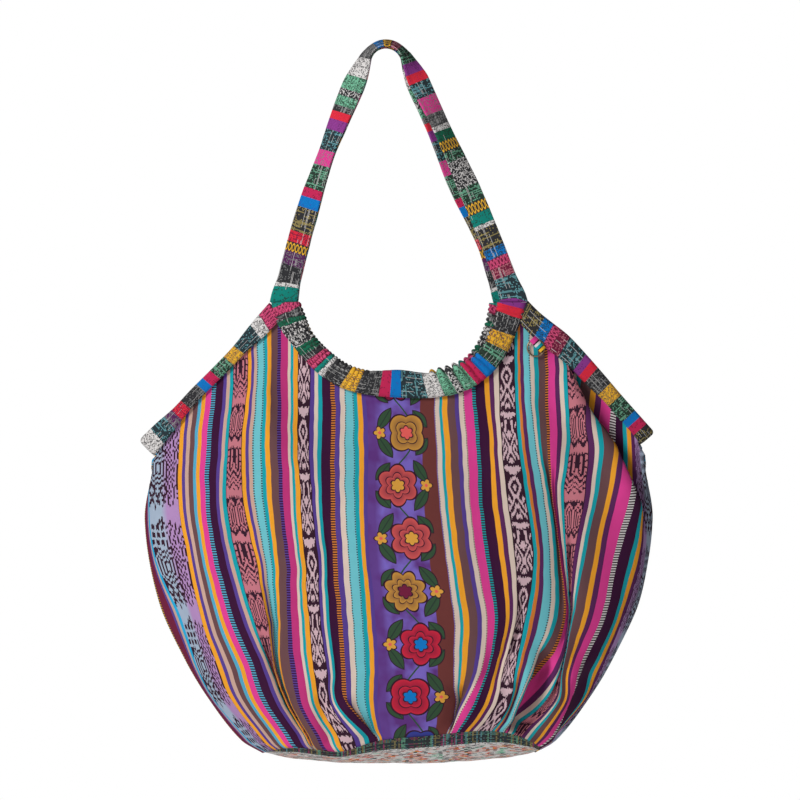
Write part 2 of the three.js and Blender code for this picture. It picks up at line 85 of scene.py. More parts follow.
# How the body's cloth swells, sways and is held by its seams
BODY_ROUNDNESS = 2.4
SWELL_MIDDLE = 100
SWELL_SIDE = 14
SHOULDER_LIFT = 90
CLOTH_SWAY = 1.4
SEAM_HOLD = 14
SEAM_WAVES = [(-50, 28, -10), (75, 46, 12)]  # place across the front, reach, rise
MIDDLE_Z = -440.0
SETTLE_ROUNDS = 12

# The bindings' height over the cloth, the lip of their fold and the slant of the shoulders' inner ends
MOUTH_HEIGHT = 2.6
MOUTH_LIP = 1.0
SHOULDER_HEIGHT = 2.5
SHOULDER_LIP = 0.8
SHOULDER_SLANT = 9

# The straps' feet at the left and the right, and the ring and its loop: down from the shoulder binding's hem,
# along it, and forward from the cloth
STRAP_FEET = {FRONT: (-108.5, 109), BACK: (-108.5, 103)}
RING_SEAT = (7.4, 5.2, 3.6)
LOOP_ALONG = (-3.5, 11.5)
LOOP_REACH = 7.5
LOOP_FLOOR = 1.3
LOOP_GAP = 4.6

# Level, half width and half depth of the body
BODY_SECTIONS = [
    (-664, 129, 50),
    (-652, 149, 57),
    (-614, 179, 68),
    (-576, 202, 73),
    (-520, 227, 72),
    (-444, 240, 61),
    (-387, 232, 45),
    (-365, 239, 40),
    (-300, 239, 28),
    (-239, 239, 20),
]
SECTION_Z, HALF_WIDTHS, HALF_DEPTHS = zip(*BODY_SECTIONS)

# How each shoulder hangs: distance from the body's middle, rise above the straight slope, binding's width
LEFT_SHOULDER = [
    (110, 0, 18),
    (120, -1.5, 17.5),
    (138, -3, 16),
    (155, -6, 12),
    (175, -5.5, 10.5),
    (195, -4, 10.5),
    (212, -4, 12),
    (228, -1, 15),
    (239, 0, 17.5),
]
RIGHT_SHOULDER = [
    (110, 0, 18),
    (130, 0.5, 18.5),
    (144, 4, 18.5),
    (158, 8, 18),
    (172, 8.5, 18),
    (190, 7.5, 17),
    (205, 6, 15),
    (220, 5, 15),
    (239, 4, 16),
]
SHOULDER_LINES = {-1: tuple(zip(*LEFT_SHOULDER)), 1: tuple(zip(*RIGHT_SHOULDER))}
SHOULDER_TIPS = {-1: 239, 1: 235.5}
SHOULDER_LAP = 5

# Ruching round the mouth: share of the way from left to right, height of the ribs, ribs in 100 mm
RUCHING = [
    (0.0, 0.1, 16),
    (0.06, 0.5, 19),
    (0.36, 0.5, 19),
    (0.42, 0.12, 10),
    (0.6, 0.12, 10),
    (0.645, 1.1, 11),
    (0.71, 1.1, 12),
    (0.76, 0.5, 15),
    (0.95, 0.5, 17),
    (1.0, 0.1, 17),
]
RUCHING_PLACES, RIB_HEIGHTS, RIB_COUNTS = zip(*RUCHING)
BACK_INWARD = 7

# How the mouth's binding hangs: share of the way from left to right, and where its fold and its hem lie
# between the two edges of its cut
MOUTH_HANG = [
    (0.0, 0.12, 0.98),
    (0.06, 0.04, 0.84),
    (0.12, 0.02, 0.66),
    (0.18, 0.0, 0.62),
    (0.24, 0.04, 0.72),
    (0.36, 0.18, 0.93),
    (0.5, 0.02, 1.02),
    (0.6, 0.22, 1.1),
    (0.68, 0.38, 1.12),
    (0.76, 0.3, 1.0),
    (0.88, 0.14, 0.79),
    (0.94, 0.14, 0.84),
    (1.0, 0.12, 0.98),
]
HANG_PLACES, FOLD_SHARES, HEM_SHARES = zip(*MOUTH_HANG)

# Soft grooves in each panel: foot x and z, head x and z, depth, width
FRONT_GROOVES = [
    (-18, -656, -46, -604, 5, 8),
    (45, -652, 57, -590, 6, 8),
    (-84, -657, -121, -556, 6, 9),
    (-60, -660, -76, -600, 5, 7),
    (-106, -657, -158, -565, 5, 9),
    (84, -654, 110, -596, 5, 8),
    (105, -652, 144, -560, 24, 7),
    (158, -560, 150, -372, 7, 13),
    (152, -664, 191, -570, 40, 9),
    (230, -425, 160, -285, 28, 10),
    (-150, -470, -128, -330, 2.5, 14),
    (-60, -480, -72, -330, 2, 12),
    (88, -520, 70, -350, 2.5, 13),
    (-196, -520, -206, -400, 3, 10),
]
BACK_GROOVES = [
    (20, -655, 44, -600, 8, 8),
    (-40, -654, -56, -595, 8, 8),
    (70, -656, 104, -566, 7, 9),
    (-86, -655, -124, -560, 8, 9),
    (108, -656, 160, -560, 7, 9),
    (-124, -655, -178, -565, 8, 10),
    (-170, -520, -150, -390, 6, 14),
]

# The deep crease under the right shoulder: foot x and z, head x and z. Above it the cloth slips up along it,
# and below its foot the cloth is drawn aside
CREASE = (221, -430, 151, -290)
CREASE_SLIP = 18
CREASE_SHIFT = 8.5
CREASE_SIDE = 236

# Pleat edges that lie on top: foot x and z, head x and z, side that is raised, height, reach, how far the
# cloth beside them slides under
PLEAT_EDGES = [
    (-17, -649, -54, -604, -1, 8, 20, 3),
    (46, -650, 61, -600, 1, 8, 22, 3),
    (-84, -655, -108, -585, 1, 4, 18, 0),
    (96, -650, 134, -558, -1, 14, 18, 8),
    (140, -664, 177, -568, -1, 24, 18, 5),
    (*CREASE, -1, 22, 16, 9),
]

# The yarns' colours, in display values
YARNS = {
    "orange": (246, 166, 44),
    "deep_orange": (214, 126, 50),
    "purple": (88, 64, 146),
    "plum": (92, 40, 92),
    "tan": (205, 168, 152),
    "cream": (226, 205, 190),
    "brown": (108, 74, 76),
    "sky": (84, 172, 205),
    "cyan": (34, 172, 220),
    "teal": (16, 164, 176),
    "turquoise": (112, 198, 208),
    "pink": (228, 66, 150),
    "magenta": (196, 54, 124),
    "aubergine": (58, 16, 54),
    "maroon": (118, 30, 62),
    "ink": (52, 26, 42),
    "rose": (202, 122, 134),
    "pale_rose": (214, 182, 190),
    "lavender": (182, 142, 194),
    "mist": (166, 182, 202),
    "charcoal": (50, 50, 53),
    "ash": (132, 132, 132),
    "slate": (42, 56, 62),
    "moss": (42, 60, 50),
    "khaki": (178, 160, 96),
    "white": (228, 224, 222),
    "mint": (122, 192, 158),
    "sea": (12, 136, 124),
    "leaf": (20, 108, 80),
    "mustard": (244, 186, 52),
    "crimson": (202, 38, 88),
    "red": (230, 44, 66),
    "violet": (146, 58, 146),
    "blue": (4, 122, 202),
    "steel": (112, 176, 184),
    "coral": (236, 98, 92),
    "blush": (222, 82, 128),
    "iris": (124, 104, 196),
    "grape": (96, 52, 128),
    "russet": (112, 56, 52),
    "gold": (226, 164, 66),
    "pine": (52, 82, 56),
    "indigo": (52, 76, 172),
}

# The warp across one panel from its left side seam, in groups of stripes: width in mm, yarn, and a second
# yarn where picks alternate
STRIPES = {
    "side_seam": [(3.5, "mustard", "ink"), (13, "maroon"), (4, "purple"), (4, "tan"), (5, "cyan")],
    "lavender_left": [(36, "ink")],
    "left_orange": [(4.2, "orange"), (3, "purple"), (3.6, "tan"), (4, "brown"), (3.2, "sky"),
                    (3.6, "orange")],
    "left_pink": [(5, "pink"), (3.8, "sky", "ink"), (6.6, "aubergine"), (3, "purple"), (3, "tan")],
    "left_teal": [(3.8, "teal")],
    "rose_left": [(16.4, "ink")],
    "rose_edge": [(3.8, "orange"), (3, "purple"), (3.6, "tan"), (1.2, "ink", "turquoise"), (6.4, "turquoise"),
                  (1.2, "ink", "turquoise"), (3.6, "teal"), (4.5, "orange")],
    "left_brown": [(6.6, "brown"), (3.2, "aubergine", "purple")],
    "left_magenta": [(7.4, "magenta"), (2.8, "cream"), (2.8, "teal"), (4.4, "orange")],
    "dark_left": [(11.4, "ink")],
    "dark_edge": [(3, "purple"), (3, "cream"), (3.2, "teal")],
    "left_aubergine": [(8.6, "aubergine")],
    "left_bars": [(4.8, "deep_orange", "ink"), (4.6, "purple"), (4.8, "cream")],
    "left_turquoise": [(1.2, "ink", "turquoise"), (6.6, "turquoise"), (1.2, "ink", "turquoise"),
                       (3.8, "teal")],
    "inner_orange": [(4.6, "orange"), (3.8, "purple")],
    "folk_band": [(67, "iris")],
    "right_cream": [(1, "ink", "cream"), (3.4, "cream"), (3, "teal"), (4.4, "orange"), (7.4, "brown"),
                    (3.8, "purple"), (3.8, "cream")],
    "right_pink": [(1, "ink", "cream"), (8, "pink"), (3.6, "teal", "ink"), (9, "aubergine")],
    "right_orange": [(4.5, "orange"), (4.5, "plum"), (4.7, "cream")],
    "dark_right": [(18, "ink")],
    "right_teal": [(3.6, "teal"), (2.8, "deep_orange"), (3.8, "plum"), (6.2, "turquoise"),
                   (1.2, "ink", "turquoise")],
    "outer_cream": [(3, "cream"), (3, "teal")],
    "outer_brown": [(7.6, "brown"), (3.8, "deep_orange", "ink")],
    "outer_pink": [(7.6, "pink"), (4.2, "plum")],
    "fold_cream": [(3.8, "cream"), (3.2, "teal")],
    "rose_right": [(16.4, "ink")],
    "far_plum": [(3.8, "plum"), (3.2, "cream"), (3.6, "teal")],
    "far_brown": [(7.6, "brown"), (4, "orange"), (4.6, "plum")],
    "far_pink": [(8.6, "pink"), (5, "white", "ink")],
    "far_aubergine": [(8.4, "aubergine")],
    "far_teal": [(3.6, "teal"), (3.6, "orange"), (3.6, "plum")],
    "lavender_right": [(36, "ink")],
}
WARP = [stripe for group in STRIPES.values() for stripe in group]
CLOTH_WIDTH = sum(stripe[0] for stripe in WARP)

# Where these groups begin on the body, in mm from its middle, at each level from the base up
WARP_LEVELS = (-645, -612, -582, -536, -480, -424, -368, -312)
WARP_PLACES = [
    ("lavender_left", -146, -174, -189, -204, -229, -236, -237, -235),
    ("left_orange", -132, -157, -169, -185, -197, -207, -207, -202),
    ("left_pink", -112, -134, -144, -163, -178, -186, -186, -181),
    ("left_teal", -88, -107, -119, -138, -155, -165, -163, -159),
    ("rose_edge", -86, -104, -115, -122, -133, -145, -147, -142),
    ("left_brown", -84, -101, -110, -111, -113, -118, -121, -120),
    ("left_magenta", -74, -91, -96, -100, -102, -108, -110, -111),
    ("dark_left", -57, -75, -79, -83, -88, -92, -95, -95),
    ("dark_edge", -42, -64, -66, -72, -75, -81, -84, -83),
    ("left_aubergine", -27, -58, -59, -64, -67, -72, -72, -72),
    ("left_bars", -19, -50, -54, -57, -62, -64, -64, -65),
    ("left_turquoise", -18, -37, -40, -43, -47, -50, -51, -51),
    ("inner_orange", -17, -26, -27, -30, -34, -37, -38, -40),
    ("folk_band", -13, -19, -19, -22, -27, -29, -29, -32),
    ("right_cream", 44, 51, 51, 51, 44, 38, 35, 33),
    ("right_pink", 46, 62, 76, 81, 72, 65, 63, 59),
    ("right_orange", 58, 80, 89, 100, 94, 87, 85, 80),
    ("dark_right", 69, 91, 97, 110, 108, 101, 96, 94),
    ("right_teal", 84, 103, 109, 118, 126, 119, 112, 109),
    ("outer_cream", 96, 108, 121, 139, 141, 136, 128, 123),
    ("outer_brown", 96.5, 110, 124, 147, 148, 142, 133, 131),
    ("outer_pink", 97, 116, 136.5, 155, 151, 144, 142, 140),
    ("fold_cream", 98, 129, 149, 158, 154, 148, 153, 150),
    ("rose_right", 105, 137, 150.5, 158.5, 157, 154, 161, 157),
    ("far_plum", 114.5, 144.5, 151, 159, 163, 173, 174, 174),
    ("far_brown", 126, 149, 152.5, 161.5, 173, 183, 184, 183),
    ("far_pink", 139, 157, 161, 180, 191, 198, 200, 200),
    ("far_aubergine", 146, 162, 171, 193, 204, 213, 212, 212),
    ("far_teal", 150, 174, 182, 202, 213, 218.5, 216, 216),
    ("lavender_right", 151, 178, 192, 211, 225, 227, 224.5, 225),
]

# Figures of the ikat bands, # where the yarn is undyed. The first two are half figures, middle at the left
ROSE_FIGURE = """
########
########
########
########
.#.#.###
........
...##...
..####..
.##..##.
.#.##.#.
#..##..#
#.#..#.#
#.#.##.#
#.#.#.##
#.#.#.#.
#.#.#.##
#.#.#.#.
#.#.#.##
#.#.#.#.
#.#.#.##
#.##..#.
#..##..#
.##..##.
.#.##.#.
...##...
#......#
##....##
###..###
########
########
########
#.#.#.##
........
..##..##
..##..##
..##..##
..##....
...#..##
..##..##
..##..##
..##....
#.##..##
#..#..##
#.##..#.
##....##
.##..##.
..####..
#..##..#
##....##
.##..##.
#.####..
##.##..#
.##..###
#.####..
##..##.#
###...##
.###.###
""".split()
DARK_FIGURE = """
#########
########.
#######..
####.....
.........
##.......
####.....
..###....
...###...
#...###..
##...##..
#...###..
...###...
..###....
####.....
###....#.
.##...###
..##..##.
...####..
##..##..#
###..##.#
.##...###
..##...##
...##....
##..###..
###..###.
.##....#.
.........
.........
#########
########.
#####....
.........
..###....
..###...#
...##..##
...##..#.
...##....
#..###...
##..##...
####..##.
###..###.
#...##.#.
...##..##
..##...##
.##..#..#
##..###..
##.##.##.
##.##..#.
##..##...
.##..###.
..##..###
#..##..##
##..#....
###......
.........
.........
""".split()
LAVENDER_FIGURE = """
####################
####################
####################
########.###########
######...####.######
#####..#..##..##.###
#..#..#..##.##.#.##.
#..#..#..#.##.##.#.#
############.##.##.#
#..#..#..#.#.##.#.##
#..#..#..##.##.#.##.
###########.#.##.#.#
..#..#..#.#.##.#.##.
..#..#..#.##.#.##.#.
#########.#.#.##.#.#
.....####....#.##.#.
...##....##.#.#.#.#.
..#..####..#.#.##.#.
.#.##....##.#.#.#.##
#.#..####..#.#.#.#.#
#.#.#....#.#..#.#.#.
#.#.#.##.#.#.#.#.##.
#.#.#.##.#.#..#.#.#.
#.#.#.##.#.#.#.##.#.
#.#.#....#.#.#.#.##.
#.#..####..#..#.#.#.
.#.##....##..#.#.##.
..#..####..#..#.#.#.
...##....##.#.##.##.
.....####....#.#.#..
..#...#...#..#.##.#.
.###.###.###..#.#.##
..#...#...#..#.##.#.
#...#...#...#.#.#.##
##.###.###.##..##.#.
#...#...#...#.##.###
..#.##..##.##.##.###
.###.####.####.#####
####.###############
""".split()

# Ikat bands in pairs: groups at the left and the right, figure, dark steps beside it if it is half a figure,
# repeat at the left and the right, start at the left and the right, undyed yarn at the outer and inner edge
IKAT_BANDS = [
    ("rose_left", "rose_right", ROSE_FIGURE, 0.6, 88, 84, 1, 13, "rose", "rose"),
    ("dark_left", "dark_right", DARK_FIGURE, 1.0, 122, 103, 100, 52, "pale_rose", "pale_rose"),
    ("lavender_left", "lavender_right", LAVENDER_FIGURE, None, 93, 93, 10, 36, "mist", "lavender"),
]

# How the dyed yarns slip: a yarn's width, its own slip, the length of a patch and the slip within it
IKAT_YARN = 0.9
YARN_SLIP = 1.9
SLIP_PATCH = 9.0
PATCH_SLIP = 1.2

# Flowers of the middle band: their distance, and the yarns of the petals and the hearts from the top down
FLOWER_STEP = 49.0
PETAL_YARNS = ["crimson", "gold", "indigo", "coral", "gold", "violet", "red", "indigo", "gold", "crimson"]
HEART_YARNS = ["gold", "coral", "mint", "gold", "maroon", "white", "blue", "gold", "crimson", "white"]

# Kinds of weft band in the binding cloth: ground, fleck, share of flecks, share of pale lines, 1 for a chain
WEFT_KINDS = {
    "charcoal": ("charcoal", "ash", 0.16, 0.6, 0),
    "slate": ("slate", "steel", 0.14, 0.6, 0),
    "moss": ("moss", "mint", 0.12, 0.6, 0),
    "olive": ("charcoal", "khaki", 0.12, 0.6, 0),
    "grey": ("ash", "charcoal", 0.50, 0.3, 0),
    "pepper": ("charcoal", "white", 0.38, 0.0, 0),
    "salt": ("white", "charcoal", 0.36, 0.0, 0),
    "mint": ("mint", "moss", 0.42, 0.1, 0),
    "sea": ("sea", "moss", 0.14, 0.1, 0),
    "leaf": ("leaf", "moss", 0.34, 0.2, 0),
    "mustard": ("mustard", "brown", 0.40, 0.0, 0),
    "mustard_chain": ("charcoal", "mustard", 0.0, 0.0, 1),
    "pink_chain": ("maroon", "blush", 0.25, 0.0, 1),
    "pink": ("pink", "ash", 0.22, 0.0, 0),
    "rose_red": ("red", "maroon", 0.34, 0.4, 0),
    "crimson": ("crimson", "maroon", 0.08, 0.0, 0),
    "red": ("red", "crimson", 0.06, 0.0, 0),
    "violet": ("violet", "plum", 0.06, 0.0, 0),
    "heather": ("plum", "ash", 0.24, 0.6, 0),
    "blue": ("blue", "indigo", 0.06, 0.0, 0),
    "denim": ("blue", "slate", 0.42, 0.5, 0),
    "wine": ("maroon", "rose", 0.22, 0.5, 0),
}

# Weft bands along each binding and strap: kind, length in mm
STRAP_BANDS = [
    ("sea", 14), ("salt", 4), ("charcoal", 16), ("heather", 13), ("mustard_chain", 9), ("rose_red", 10),
    ("olive", 24), ("blue", 10), ("crimson", 9), ("moss", 23), ("pink", 15), ("slate", 20), ("violet", 10),
    ("red", 8), ("charcoal", 6), ("mint", 10), ("pepper", 7), ("mint", 14), ("salt", 18), ("grey", 16),
    ("denim", 8), ("mustard_chain", 8), ("wine", 8), ("moss", 17), ("violet", 11), ("red", 9), ("slate", 15),
    ("pink", 17), ("grey", 13), ("salt", 5), ("leaf", 10), ("mustard_chain", 11), ("moss", 10),
    ("pepper", 27), ("moss", 16), ("mustard_chain", 11), ("sea", 11), ("salt", 4), ("olive", 20),
    ("denim", 10), ("pink_chain", 9), ("wine", 10), ("slate", 22), ("violet", 4),
]
MOUTH_BANDS = [
    ("sea", 3.5), ("pink_chain", 9), ("charcoal", 6), ("leaf", 6), ("pepper", 23), ("leaf", 9),
    ("charcoal", 5), ("pink_chain", 10), ("sea", 6), ("salt", 5), ("charcoal", 17), ("mustard", 13),
    ("charcoal", 20), ("crimson", 9), ("blue", 9), ("slate", 22), ("salt", 13), ("mint", 11), ("pepper", 5),
    ("mint", 12), ("crimson", 9), ("blue", 11), ("moss", 17), ("mustard", 15), ("charcoal", 17),
    ("red", 8.5), ("violet", 8),
]
LEFT_SHOULDER_BANDS = [
    ("pink_chain", 14), ("salt", 11), ("slate", 22.5), ("mustard", 14), ("moss", 19), ("crimson", 9.5),
    ("blue", 9), ("charcoal", 21), ("rose_red", 13), ("heather", 11), ("slate", 16.5), ("salt", 22),
]
RIGHT_SHOULDER_BANDS = [
    ("olive", 22), ("denim", 11), ("pink_chain", 8.5), ("wine", 10), ("slate", 20), ("violet", 7.5),
    ("red", 8), ("charcoal", 18), ("mustard", 14.5), ("moss", 19.5), ("blue", 8), ("crimson", 9),
    ("olive", 20),
]

# The loop's own narrow stripes: width, yarn
LOOP_STRIPES = [
    (3.2, "pink"), (0.9, "ink"), (1.6, "white"), (1.8, "teal"), (0.6, "ink"), (1.9, "mustard"),
]

# The weave's own sizes: warp threads, weft threads, and two picks of weft where picks alternate
WARP_PITCH = 0.95
WEFT_PITCH = 1.1
PICK = 2.35

# How finely the cloth is made
PANEL_COLUMNS = 236
PANEL_ROWS = 176
MOUTH_STATIONS = 420
SHOULDER_STATIONS = 90
TURN_STATIONS = 14
LEG_STEPS = 110
ARCH_STEPS = 44
STRAP_SIDES = 36
BASE_COLUMNS = 120
BASE_STEPS = 40
LOOP_STEPS = 20
RAMP_ROWS = 18

# The camera's distance, and the middle and width of what it sees, in metres
VIEW_AWAY = 4.0
VIEW_CENTRE = (0.01323, -0.33075)
VIEW_WIDTH = 0.756

# The stage in metres. Lamps: name, place, size, power
FLOOR_Z = -1.2
LAMPS = [
    ("key", (-1.5, -1.9, 0.9), 0.9, 56),
    ("fill", (-0.2, -2.6, -0.9), 1.4, 10),
]
LAMP_TARGET = Vector((0.012, 0, -0.4))


def linear(display):
    """A colour from display values out of 255 to linear light."""
    shares = [value / 255 for value in display]
    return tuple(s / 12.92 if s <= 0.04045 else ((s + 0.055) / 1.055) ** 2.4 for s in shares)


class BagSizes(bpy.types.PropertyGroup):
    """Sizes of the cloth and the ring that a user may change."""

    cloth: bpy.props.FloatProperty(
        name="Body cloth", description="Thickness of the striped cloth", default=0.0013, unit="LENGTH")
    binding: bpy.props.FloatProperty(
        name="Binding cloth", description="Thickness of one layer of binding", default=0.0012, unit="LENGTH")
    ruching: bpy.props.FloatProperty(
        name="Ruching", description="Height of the ribs of the mouth binding", default=0.0017, unit="LENGTH")
    crumple: bpy.props.FloatProperty(
        name="Crumple", description="Height of the cloth's slack waves", default=0.0016, unit="LENGTH")
    wire: bpy.props.FloatProperty(
        name="Ring wire", description="Thickness of the ring's wire", default=0.0016, unit="LENGTH")


class BagColours(bpy.types.PropertyGroup):
    """Colours of the yarns."""

    __annotations__ = {
        yarn: bpy.props.FloatVectorProperty(
            name=yarn.replace("_", " ").capitalize(), description="Colour of this yarn", subtype="COLOR",
            size=3, min=0, max=1, default=linear(display))
        for yarn, display in YARNS.items()
    }


def sizes():
    """The sizes in use."""
    return bpy.context.scene.woven_bag_sizes


def mix(start, end, share):
    """The value that lies at a share of the way."""
    return start + (end - start) * share


def smooth(value):
    """A soft step from 0 to 1."""
    t = min(1.0, max(0.0, value))
    return t * t * (3 - 2 * t)


def bell(value):
    """A soft hump of height 1."""
    return math.exp(-value * value)


def wander(x, y, z):
    """A soft random number for a place."""
    return noise.noise(Vector((x, y, z)))


def curve_through(places, values, place):
    """The value at a place, on a smooth curve through the given ones."""
    last = len(places) - 1
    if place <= places[0]:
        return values[0]
    if place >= places[last]:
        return values[last]
    i = bisect_right(places, place) - 1

    def slope(k):
        low = max(k - 1, 0)
        high = min(k + 1, last)
        return (values[high] - values[low]) / (places[high] - places[low])

    span = places[i + 1] - places[i]
    t = (place - places[i]) / span
    start = t * (1 - t) * (1 - t) * span * slope(i)
    end = t * t * (t - 1) * span * slope(i + 1)
    return mix(values[i], values[i + 1], smooth(t)) + start + end


def stripe_width(name):
    """The width of a named group of stripes."""
    return sum(stripe[0] for stripe in STRIPES[name])


def stripe_start(name):
    """Where a named group of stripes begins, from the left side seam."""
    names = list(STRIPES)
    return sum(stripe_width(before) for before in names[: names.index(name)])


# The body's surface


def half_width(z):
    """Half the body's width at a level."""
    return curve_through(SECTION_Z, HALF_WIDTHS, z)


def half_depth(z):
    """Half the body's depth at a level."""
    return curve_through(SECTION_Z, HALF_DEPTHS, z)


def scoop_half_width(down):
    """Half the width of the mouth's scoop, at a distance down into the cloth."""
    return SCOOP_HALF_WIDTH + down * MOUTH_END_WIDTH / MOUTH_WIDTH


def scoop_z(x, down):
    """The level of the mouth's scoop, at a distance down into the cloth."""
    share = min(1.0, abs(x) / scoop_half_width(down))
    drop = (1 - share**SCOOP_ROUNDNESS) ** (1 / SCOOP_ROUNDNESS)
    return CORNER_Z - (SCOOP_DEPTH + down) * drop


SHOULDER_RUN = SHOULDER_OUT - SHOULDER_IN
SHOULDER_FALL = CORNER_Z - SHOULDER_OUT_Z
SHOULDER_LENGTH = math.hypot(SHOULDER_RUN, SHOULDER_FALL)
SHOULDER_DOWN = Vector((-SHOULDER_FALL, 0, -SHOULDER_RUN)) / SHOULDER_LENGTH
SHOULDER_OUTWARD = Vector((SHOULDER_RUN, 0, -SHOULDER_FALL)) / SHOULDER_LENGTH


def shoulder_z(x, down):
    """The level of the shoulder's slope, at a distance down into the cloth."""
    drop = down * SHOULDER_LENGTH / SHOULDER_RUN
    return CORNER_Z - drop - (abs(x) - SHOULDER_IN) * SHOULDER_FALL / SHOULDER_RUN


def cloth_edge_z(x):
    """The top edge of a panel, hidden in its bindings."""
    apex = CORNER_Z - BINDING_LAP
    if abs(x) < scoop_half_width(BINDING_LAP):
        return min(apex, scoop_z(x, BINDING_LAP))
    return min(apex, shoulder_z(x, SHOULDER_LAP))


def shoulder_shape(x):
    """A shoulder's rise above the straight slope and its binding's width, at a place across the body."""
    places, rises, widths = SHOULDER_LINES[1 if x > 0 else -1]
    return curve_through(places, rises, abs(x)), curve_through(places, widths, abs(x))


def under_tip(x, z):
    """Keeps a panel's corner inside the end of the shoulder's binding."""
    hand = 1 if x > 0 else -1
    tip = SHOULDER_TIPS[hand]
    rise, width = shoulder_shape(hand * tip)
    away = Vector((abs(x) - tip, 0, z - shoulder_z(tip, 0) - rise))
    past = max(0.0, away.dot(SHOULDER_OUTWARD) - 2)
    pull = past * smooth((width + 4 - away.dot(SHOULDER_DOWN)) / 5)
    return x - hand * SHOULDER_OUTWARD.x * pull, z - SHOULDER_OUTWARD.z * pull


def flat_end_z(x):
    """The level below which a panel is free of its bindings."""
    return min(cloth_edge_z(x) - EDGE_FLAT, scoop_z(x, MOUTH_WIDTH + 3))


def edge_depth(x):
    """How far a bound edge stands out from the middle of the bag."""
    away = abs(x)
    corner = SCOOP_HALF_WIDTH + MOUTH_END_WIDTH / 2
    if away < corner:
        return mix(EDGE_DEPTH_MIDDLE, EDGE_DEPTH_CORNER, (away / corner) ** 2)
    share = (away - corner) / (SHOULDER_OUT - corner)
    return mix(EDGE_DEPTH_CORNER, SHOULDER_TURN, min(1.0, share))


def beside_line(x, z, foot_x, foot_z, head_x, head_z):
    """A place beside a line: share of the way up it, distance to its right, and the line's direction."""
    run_x = head_x - foot_x
    run_z = head_z - foot_z
    length = math.hypot(run_x, run_z)
    share = ((x - foot_x) * run_x + (z - foot_z) * run_z) / length**2
    across = ((x - foot_x) * run_z - (z - foot_z) * run_x) / length
    return share, across, run_x / length, run_z / length


def fold_strength(share):
    """How strong a fold is at a share of the way up its line."""
    return smooth((share + 0.15) / 0.3) * smooth((1 - share) / 0.3)


def groove_depth(x, z, grooves):
    """How deep the soft grooves press in at a place."""
    depth = 0.0
    for *line, deep, width in grooves:
        share, across, _way_x, _way_z = beside_line(x, z, *line)
        depth += deep * fold_strength(share) * bell(across / width)
    return depth


def pleat_shape(x, z):
    """How far the cloth rises beside the edges of pleats, and how far it slides under them in x and z."""
    lift = 0.0
    slide_x = 0.0
    slide_z = 0.0
    for *line, side, height, reach, tuck in PLEAT_EDGES:
        share, across, way_x, way_z = beside_line(x, z, *line)
        strength = fold_strength(share)
        away = across * side
        top = smooth((away + 2) / 2.5)
        lift += height * strength * top * bell(max(0.0, away) / reach)
        under = mix(bell(min(0.0, away + 2) / 12), -0.4 * bell(max(0.0, away) / 8), top)
        slide = under * tuck * strength * side
        slide_x += slide * way_z
        slide_z -= slide * way_x
    return lift, slide_x, slide_z


def crease_slip(x, z):
    """How far the cloth slips in x and z beside the deep crease."""
    share, across, way_x, way_z = beside_line(x, z, *CREASE)
    above = CREASE_SLIP * smooth((across + 1) / 3)
    above *= smooth((CREASE_SIDE - x) / 34) * smooth((0.95 - share) / 0.1)
    below = CREASE_SHIFT * bell(across / 28) * smooth(1 - across) * smooth((0.62 - share) / 0.25)
    below *= smooth((CREASE_SIDE - x) / 20) * smooth((x - 150) / 30)
    return way_x * above + below, way_z * above


# The placed warp lines' own places in the cloth, with the side seams
WARP_CLOTH = [0.0] + [stripe_start(row[0]) for row in WARP_PLACES] + [CLOTH_WIDTH]


def warp_share(k, z):
    """Where a placed warp line lies at a level, as a share of the body's half width."""
    if k == 0:
        return -1.0
    if k > len(WARP_PLACES):
        return 1.0
    return curve_through(WARP_LEVELS, WARP_PLACES[k - 1][1:], z) / half_width(max(z, WARP_LEVELS[0]))


def cloth_across(cloth, z):
    """Where a place in the cloth lies across the body, and the stripe group that it is in."""
    k = min(bisect_right(WARP_CLOTH, cloth), len(WARP_CLOTH) - 1) - 1
    low = warp_share(k, z)
    high = warp_share(k + 1, z)
    share = (cloth - WARP_CLOTH[k]) / (WARP_CLOTH[k + 1] - WARP_CLOTH[k])
    across = max(-1.0, min(1.0, mix(low, high, share)))
    return across, (low, high, share, WARP_CLOTH[k + 1] - WARP_CLOTH[k])


def roundness(across):
    """The body's round section, 1 in the middle and 0 at the side seams."""
    return math.sqrt(max(0.0, 1 - abs(across) ** BODY_ROUNDNESS))


def tuck_depth(group, z):
    """How deep cloth that has no room across the body folds in."""
    low, high, share, cloth = group
    belly = half_depth(z)
    rise = belly * (roundness(max(-1, min(1, high))) - roundness(max(-1, min(1, low))))
    ratio = math.hypot((high - low) * half_width(z), rise) / cloth
    deep = 0.5 * cloth * math.sqrt(max(0.0, 1 - ratio * ratio)) * smooth((0.86 - ratio) / 0.5)
    return deep * (1 - abs(2 * share - 1))


